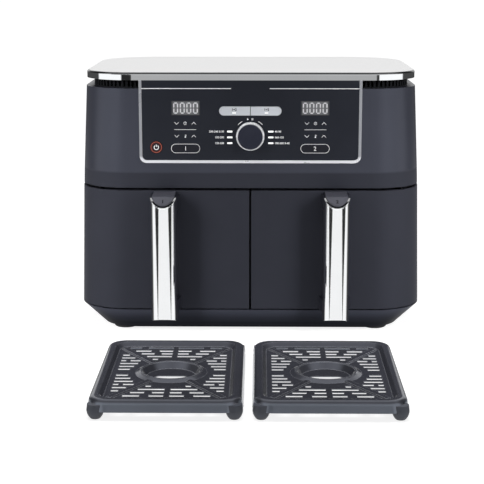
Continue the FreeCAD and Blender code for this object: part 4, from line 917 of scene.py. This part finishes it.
def display_digits(soft_white):
    """Four zeros in each display window."""
    shape = bmesh.new()
    first = -(DIGIT_COUNT - 1) / 2
    for _, side in SIDES:
        for index in range(DIGIT_COUNT):
            x = side * WINDOW_X + (first + index) * DIGIT_PITCH
            zero_digit(shape, x, DISPLAY_Z, DISPLAY_LOW.y - PRINT_DEPTH)
    make_piece("display_digits", shape, soft_white, "housing")


def chevron(shape, x, z, rise, front):
    """Small arrow mark that points up for a positive rise and down for a negative one."""
    foot = z - rise / 2
    points = ((x - CHEVRON_HALF, foot), (x, z + rise / 2), (x + CHEVRON_HALF, foot))
    stroke(shape, points, FINE_LINE, front)


def clock_mark(shape, x, z, front):
    """Clock: an open ring and two hands."""
    stroke(shape, arc_points(x, z, CLOCK_RADIUS, 0, 340, count=18), CLOCK_LINE, front)
    stroke(shape, ((x, z + CLOCK_LONG_HAND), (x, z), (x + CLOCK_SHORT_HAND, z)), CLOCK_LINE, front)


def heat_mark(shape, x, z, front):
    """Thermometer: a bulb, a stem and two ticks."""
    filled(shape, arc_points(x, z - BULB_DROP, BULB_RADIUS, 0, 340, count=14), front)
    stroke(shape, ((x, z - STEM_DROP), (x, z + STEM_RISE)), STEM_LINE, front)
    for rise in TICK_RISES:
        stroke(shape, ((x + TICK_START, z + rise), (x + TICK_END, z + rise)), TICK_LINE, front)


def touch_marks(shape, front):
    """Arrow keys with a clock and a thermometer between them, and the rule that parts the two rows."""
    for _, side in SIDES:
        x = side * CLUSTER_X
        for z, mark in ((ROW_TIME_Z, clock_mark), (ROW_HEAT_Z, heat_mark)):
            chevron(shape, x - CHEVRON_X, z, -CHEVRON_RISE, front)
            chevron(shape, x + CHEVRON_X, z, CHEVRON_RISE, front)
            mark(shape, x, z, front)
        stroke(shape, ((x - ROW_RULE_HALF, ROW_RULE_Z), (x + ROW_RULE_HALF, ROW_RULE_Z)), FINE_LINE, front)


def mode_legends(shape, front):
    """Plain number ranges beside the mode lights, from the top row down."""
    heights = (LIGHT_HIGH.z - LIGHT_HALF, LIGHT_Z, LIGHT_LOW.z + LIGHT_HALF)
    for z, (left, right) in zip(heights, LEGEND_ROWS):
        for text, x, align in ((left, LEGEND_LEFT_X, "RIGHT"), (right, LEGEND_RIGHT_X, "LEFT")):
            number(shape, text, x, z, LEGEND_HEIGHT, front, align, weight=LEGEND_WEIGHT)


def dial_legend(shape, front):
    """Start and pause signs over the dial, with a short arc at each side."""
    arc_radius = RING_RADIUS + DIAL_ARC_AWAY
    for middle in DIAL_ARC_MIDDLES:
        ends = (middle - DIAL_ARC_HALF, middle + DIAL_ARC_HALF)
        arc = arc_points(DIAL.x, DIAL.z, arc_radius, *ends, count=9)
        stroke(shape, arc, DIAL_ARC_LINE, front)
    sign_radius = RING_RADIUS + DIAL_SIGN_AWAY
    x, z = polar(DIAL.x, DIAL.z, sign_radius, START_ANGLE)
    back = x - START_BACK
    filled(shape, ((back, z - DIAL_SIGN_HALF), (x + START_TIP, z), (back, z + DIAL_SIGN_HALF)), front)
    x, z = polar(DIAL.x, DIAL.z, sign_radius, PAUSE_ANGLE)
    for bar_x in (x - PAUSE_HALF_GAP, x + PAUSE_HALF_GAP):
        stroke(shape, ((bar_x, z - DIAL_SIGN_HALF), (bar_x, z + DIAL_SIGN_HALF)), PAUSE_LINE, front)


def top_rules(shape, front):
    """Thin line along the top of the panel, open in the middle."""
    for _, side in SIDES:
        stroke(shape, ((side * RULE_INNER_X, RULE_Z), (side * PANEL_HIGH.x, RULE_Z)), RULE_LINE, front)


def panel_print(white):
    """All the print that lies on the panel itself, as one piece."""
    shape = bmesh.new()
    for draw in (touch_marks, mode_legends, dial_legend, top_rules):
        draw(shape, PANEL_LOW.y - PRINT_DEPTH)
    make_piece("panel_print", shape, white, "housing")


# Print on the keys and the handles

def zone_marks(white):
    """Each zone key's number in a capsule outline."""
    for index, (name, _) in enumerate(SIDES):
        low, high = box_mm(f"{name}_zone_button")
        centre = (low + high) / 2
        half = (high - low) / 2
        margin = ZONE_FLANGE + ZONE_INSET
        front = low.y - PRINT_DEPTH
        shape = bmesh.new()
        outline = capsule_points(centre.x, centre.z, half.x - margin, half.z - margin)
        stroke(shape, outline, FINE_LINE, front, closed=True)
        number(shape, str(index + 1), centre.x, centre.z, ZONE_DIGIT_HEIGHT, front)
        make_piece(f"{name}_zone_mark", shape, white, f"{name}_zone_key")


def power_marks(white, copper):
    """The power key's copper ring and its sign."""
    front = POWER_FRONT - PRINT_DEPTH
    ring = bmesh.new()
    circle = arc_points(POWER.x, POWER.z, POWER_RING_RADIUS, 0, 350, count=36)
    stroke(ring, circle, POWER_RING_LINE, front, closed=True)
    make_piece("power_ring", ring, copper, "power_key")
    sign = bmesh.new()
    arc = arc_points(POWER.x, POWER.z - POWER_SIGN_DROP, POWER_SIGN_RADIUS, *POWER_SIGN_ENDS, count=25)
    stroke(sign, arc, POWER_SIGN_LINE, front)
    stem = ((POWER.x, POWER.z + POWER_STEM_FOOT), (POWER.x, POWER.z + POWER_STEM_TOP))
    stroke(sign, stem, POWER_SIGN_LINE, front)
    make_piece("power_sign", sign, white, "power_key")


def bar_marks(lit, ink):
    """A small sum in dark print on each half of the bar, and the lit dash under it."""
    for key, text in (("sync", "1+2"), ("match", "1=2")):
        x, _, z = middle_mm(f"{key}_button")
        front = box_mm(f"{key}_button")[0].y - PRINT_DEPTH
        sign = bmesh.new()
        number(sign, text, x, z + BAR_SIGN_RISE, BAR_SIGN_HEIGHT, front, weight=BOLD_WEIGHT)
        make_piece(f"{key}_sign", sign, ink, f"{key}_key")
        dash = bmesh.new()
        outline = capsule_points(x, z - BAR_DASH_DROP, BAR_DASH_HALF_WIDTH, BAR_DASH_HALF_HEIGHT, count=6)
        filled(dash, outline, front)
        make_piece(f"{key}_dash", dash, lit, f"{key}_key")


def cap_numbers(ink):
    """The zone's number on the slanted end of each handle cap."""
    slant = math.radians(CAP_SLANT)
    for index, (name, _) in enumerate(SIDES):
        low, high = box_mm(f"{name}_handle_cap")
        x = (low.x + high.x) / 2
        y = low.y + CAP_DIGIT_REACH * math.cos(slant)
        z = low.z + CAP_SHEET + CAP_DIGIT_REACH * math.sin(slant) + CAP_DIGIT_LIFT
        shape = bmesh.new()
        number(shape, str(index + 1), x, z, CAP_DIGIT_HEIGHT, y, tilt=90 - CAP_SLANT, weight=BOLD_WEIGHT)
        make_piece(f"{name}_cap_number", shape, ink, f"{name}_drawer")


# Screws with a cross recess, drawn with the head to the front

def turned(shape, profile, count=28):
    """Solid of revolution round the Y axis through (radius, y) points, with flat ends."""
    rings = []
    for radius, y in profile:
        circle = [polar(0, 0, radius, 360 * step / count) for step in range(count)]
        rings.append([shape.verts.new((x, y, z)) for x, z in circle])
    for ring, following in zip(rings, rings[1:]):
        for step in range(count):
            after = (step + 1) % count
            shape.faces.new((ring[step], ring[after], following[after], following[step]))
    shape.faces.new(rings[0][::-1])
    shape.faces.new(rings[-1])


def cross_points(arm, half):
    """Closed outline of a cross whose arms reach to arm and are twice half wide."""
    corners = [(half, arm), (-half, arm), (-half, half)]
    outline = []
    for _ in range(4):
        outline += corners
        corners = [(-z, x) for x, z in corners]
    return outline


def screw_mesh(shank, length):
    """Pan-head screw in millimetres, with the given radius and length of shank."""
    head = [(radius * SCREW_HEAD, -rise * SCREW_RISE) for radius, rise in SCREW_PROFILE]
    blank = bmesh.new()
    turned(blank, head + [(shank, 0), (shank, length)])
    blank = mesh_object("screw_blank", blank)
    cross = cross_points(RECESS_ARM * SCREW_HEAD, RECESS_HALF * SCREW_HEAD)
    recess = bmesh.new()
    filled(recess, cross, -2 * SCREW_RISE, (1 + RECESS_DEPTH) * SCREW_RISE)
    recess = mesh_object("screw_recess", recess)
    cut = blank.modifiers.new("recess", "BOOLEAN")
    cut.operation = "DIFFERENCE"
    cut.object = recess
    graph = bpy.context.evaluated_depsgraph_get()
    mesh = bpy.data.meshes.new_from_object(blank.evaluated_get(graph))
    bpy.data.objects.remove(blank)
    bpy.data.objects.remove(recess)
    return mesh


def screw_set(node, body, steel, kinds):
    """Screws that stand for a CAD node.

    Each kind is a mesh, a turn from facing the front, and the places of the heads.
    """
    shape = bmesh.new()
    for mesh, turn, places in kinds:
        for position in places:
            copy = mesh.copy()
            copy.transform(Matrix.Translation(position) @ turn)
            shape.from_mesh(copy)
            bpy.data.meshes.remove(copy)
    piece = make_piece(f"{node}_cross", shape, steel, body)
    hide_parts(node)


def all_screws(steel):
    """The screws of the rear cover, the base and the handles."""
    facing_back = Matrix.Rotation(math.pi, 4, "Z")
    facing_down = Matrix.Rotation(math.pi / 2, 4, "X")
    low, high = box_mm("housing_screws")
    cover_low, cover_high = box_mm("rear_cover")
    rear_x = cover_high.x - REAR_SCREW_INSET
    rear_zs = (cover_low.z + REAR_SCREW_INSET, cover_high.z - REAR_SCREW_INSET)
    rear = [(side * rear_x, high.y - SCREW_RISE, z) for _, side in SIDES for z in rear_zs]
    base = [(side * BASE_SCREW_X, y, low.z + SCREW_RISE) for _, side in SIDES for y in BASE_SCREW_YS]
    rear_screw = screw_mesh(SCREW_SHANK, REAR_SCREW_LENGTH)
    base_screw = screw_mesh(SCREW_SHANK, BASE_SCREW_LENGTH)
    kinds = ((rear_screw, facing_back, rear), (base_screw, facing_down, base))
    screw_set("housing_screws", "housing", steel, kinds)
    for name, _ in SIDES:
        low, high = box_mm(f"{name}_handle_screws")
        x = (low.x + high.x) / 2
        y = high.y - SCREW_RISE
        places = [(x, y, z) for z in (low.z + SCREW_HEAD, high.z - SCREW_HEAD)]
        through = screw_mesh(HANDLE_SCREW_SHANK, y - low.y)
        screw_set(f"{name}_handle_screws", f"{name}_drawer", steel, ((through, facing_back, places),))


# Lamps

def aimed_area(name, position, target, size, power, spread_angle):
    """Rectangular lamp in watts, with a grid where the spread is under 180 degrees."""
    data = bpy.data.lights.new(name, "AREA")
    data.shape = "RECTANGLE"
    data.size, data.size_y = size
    data.energy = power
    data.spread = math.radians(spread_angle)
    light = add_object(name, data)
    light.location = position
    light.rotation_euler = (Vector(target) - Vector(position)).to_track_quat("-Z", "Y").to_euler()
    light.visible_glossy = False


def studio_lights():
    """A gridded softbox on each side of the front, and a large panel overhead."""
    for name, side in SIDES:
        mirror = Vector((side, 1.0, 1.0))
        position = Vector(SOFTBOX_PLACE) * mirror
        target = Vector(SOFTBOX_TARGET) * mirror
        aimed_area(f"{name}_softbox", position, target, SOFTBOX_SIZE, SOFTBOX_POWER, SOFTBOX_SPREAD)
    aimed_area("overhead", OVERHEAD_PLACE, OVERHEAD_TARGET, OVERHEAD_SIZE, OVERHEAD_POWER, OVERHEAD_SPREAD)


# World

def levels(tree, degrees, stops):
    """Brightness by an angle from -180 to 180 degrees, through (degrees, level) stops."""
    share = spread(tree, degrees, 0.0, 1.0, -180.0, 180.0)
    return shades(tree, share, [((angle + 180.0) / 360.0, scaled(WHITE, level)) for angle, level in stops])


def both_sides(stops):
    """Stops from the front to the back on the right, with their mirror images on the left."""
    left = [(-angle, level) for angle, level in reversed(stops) if angle > 0]
    return left + list(stops)


def flag(tree, turn, height, centre):
    """1 on a dark wedge round a direction, which is widest at its top and ends in a point below."""
    half = spread(tree, height, 0.0, FLAG_HALF, *FLAG_HEIGHTS)
    return math_node(tree, "LESS_THAN", away_from(tree, turn, centre), half)


def low_field(tree, turn, height):
    """Pale walls with two dark flags, and the table under them."""
    walls = levels(tree, turn, both_sides(WALL_STOPS))
    table = levels(tree, turn, both_sides(TABLE_STOPS))
    left_flag, right_flag = [flag(tree, turn, height, centre) for centre in FLAG_CENTRES]
    walls = mix_colours(tree, math_node(tree, "MAXIMUM", left_flag, right_flag), walls, DARK)
    return mix_colours(tree, spread(tree, height, 1.0, 0.0, *TABLE_HEIGHTS), walls, table)


def high_field(tree, turn, height):
    """Sky over the horizon, and the ceiling over that."""
    sky = levels(tree, turn, both_sides(SKY_STOPS))
    ceiling = levels(tree, turn, both_sides(CEILING_STOPS))
    return mix_colours(tree, spread(tree, height, 0.0, 1.0, *CEILING_HEIGHTS), sky, ceiling)


def mirrored_room(tree, turn, height):
    """What shiny surfaces mirror: the low field, a band level with the part, and the high field."""
    band = levels(tree, turn, LEVEL_STOPS)
    is_level = spread(tree, height, 0.0, 1.0, *LEVEL_HEIGHTS)
    is_sky = spread(tree, height, 0.0, 1.0, *SKY_HEIGHTS)
    low_and_level = mix_colours(tree, is_level, low_field(tree, turn, height), band)
    return mix_colours(tree, is_sky, low_and_level, high_field(tree, turn, height))


def seen_directly(tree):
    """1 where the camera looks straight at it, also through glass, and 0 for lighting and reflections."""
    rays = tree.nodes.new("ShaderNodeLightPath")
    return math_node(tree, "MAXIMUM", rays.outputs["Is Camera Ray"], rays.outputs["Is Transmission Ray"])


def studio_world():
    """White to the eye, an even fill for matt surfaces, and bright and dark fields for shiny ones."""
    world = bpy.data.worlds.new("studio")
    bpy.context.scene.world = world
    world.use_nodes = True
    tree = world.node_tree
    x, y, z = axes_of(tree, tree.nodes.new("ShaderNodeTexCoord").outputs["Generated"])
    front = math_node(tree, "MULTIPLY", y, -1.0)
    turn = math_node(tree, "DEGREES", math_node(tree, "ARCTAN2", x, front))
    height = math_node(tree, "DEGREES", math_node(tree, "ARCSINE", z))
    fill = levels(tree, turn, both_sides(FILL_STOPS))
    is_glossy = tree.nodes.new("ShaderNodeLightPath").outputs["Is Glossy Ray"]
    light = mix_colours(tree, is_glossy, fill, mirrored_room(tree, turn, height))
    wire(tree, tree.nodes["Background"], {"Color": mix_colours(tree, seen_directly(tree), light, WHITE)})


# Floor and camera

def floor():
    """Pale floor that stays white to the eye and keeps the object's shadow."""
    half = FLOOR_HALF
    corners = [(-half, -half, 0), (half, -half, 0), (half, half, 0), (-half, half, 0)]
    mesh = bpy.data.meshes.new("floor")
    mesh.from_pydata(corners, [], [(0, 1, 2, 3)])
    plane = add_object("floor", mesh)
    material, tree, shader = start_material("floor_white")
    x, y, _ = axes_of(tree, place(tree))
    glow = spread(tree, length_of(tree, x, y), FLOOR_NEAR_GLOW, 1.0, FLOOR_NEAR, FLOOR_FAR)
    wire(tree, shader, {
        "Base Color": scaled(WHITE, FLOOR_GREY),
        "Roughness": spread(tree, noise(tree, 0.5), 0.85, 0.95),
        "Specular IOR Level": 0.0,
        "Emission Color": WHITE,
        "Emission Strength": math_node(tree, "MULTIPLY", seen_directly(tree), glow),
    })
    mesh.materials.append(material)
    plane.visible_glossy = False


def camera():
    """Camera that looks at the part from the photograph's viewing angle."""
    data = bpy.data.cameras.new("camera")
    data.sensor_width = CAMERA_SENSOR
    data.lens = CAMERA_LENS
    data.clip_end = CAMERA_SIGHT
    viewer = add_object("camera", data)
    viewer.location = CAMERA_PLACE
    viewer.rotation_euler = (math.radians(CAMERA_TILT), 0.0, math.radians(CAMERA_TURN))
    bpy.context.scene.camera = viewer


# Putting it together

bpy.context.scene.view_settings.view_transform = "Standard"
kinds_of_finish = finishes()
dress_nodes(kinds_of_finish)
hide_from_mirrors()
all_screws(kinds_of_finish["screw_steel"])
white_print = lamp("white_print", (0.80, 0.80, 0.82), 0.40)
soft_print = lamp("soft_print", (0.62, 0.62, 0.64), 0.25)
copper_print = lamp("copper_print", (0.42, 0.10, 0.06), 0.35)
dark_ink = surface("dark_ink", (0.008, 0.0083, 0.0100), (0.5, 0.6), mottle=0.002, Specular_IOR_Level=0.1)
display_digits(soft_print)
panel_print(white_print)
zone_marks(white_print)
power_marks(white_print, copper_print)
bar_marks(kinds_of_finish["lamp_white"], dark_ink)
cap_numbers(dark_ink)
studio_lights()
studio_world()
floor()
camera()
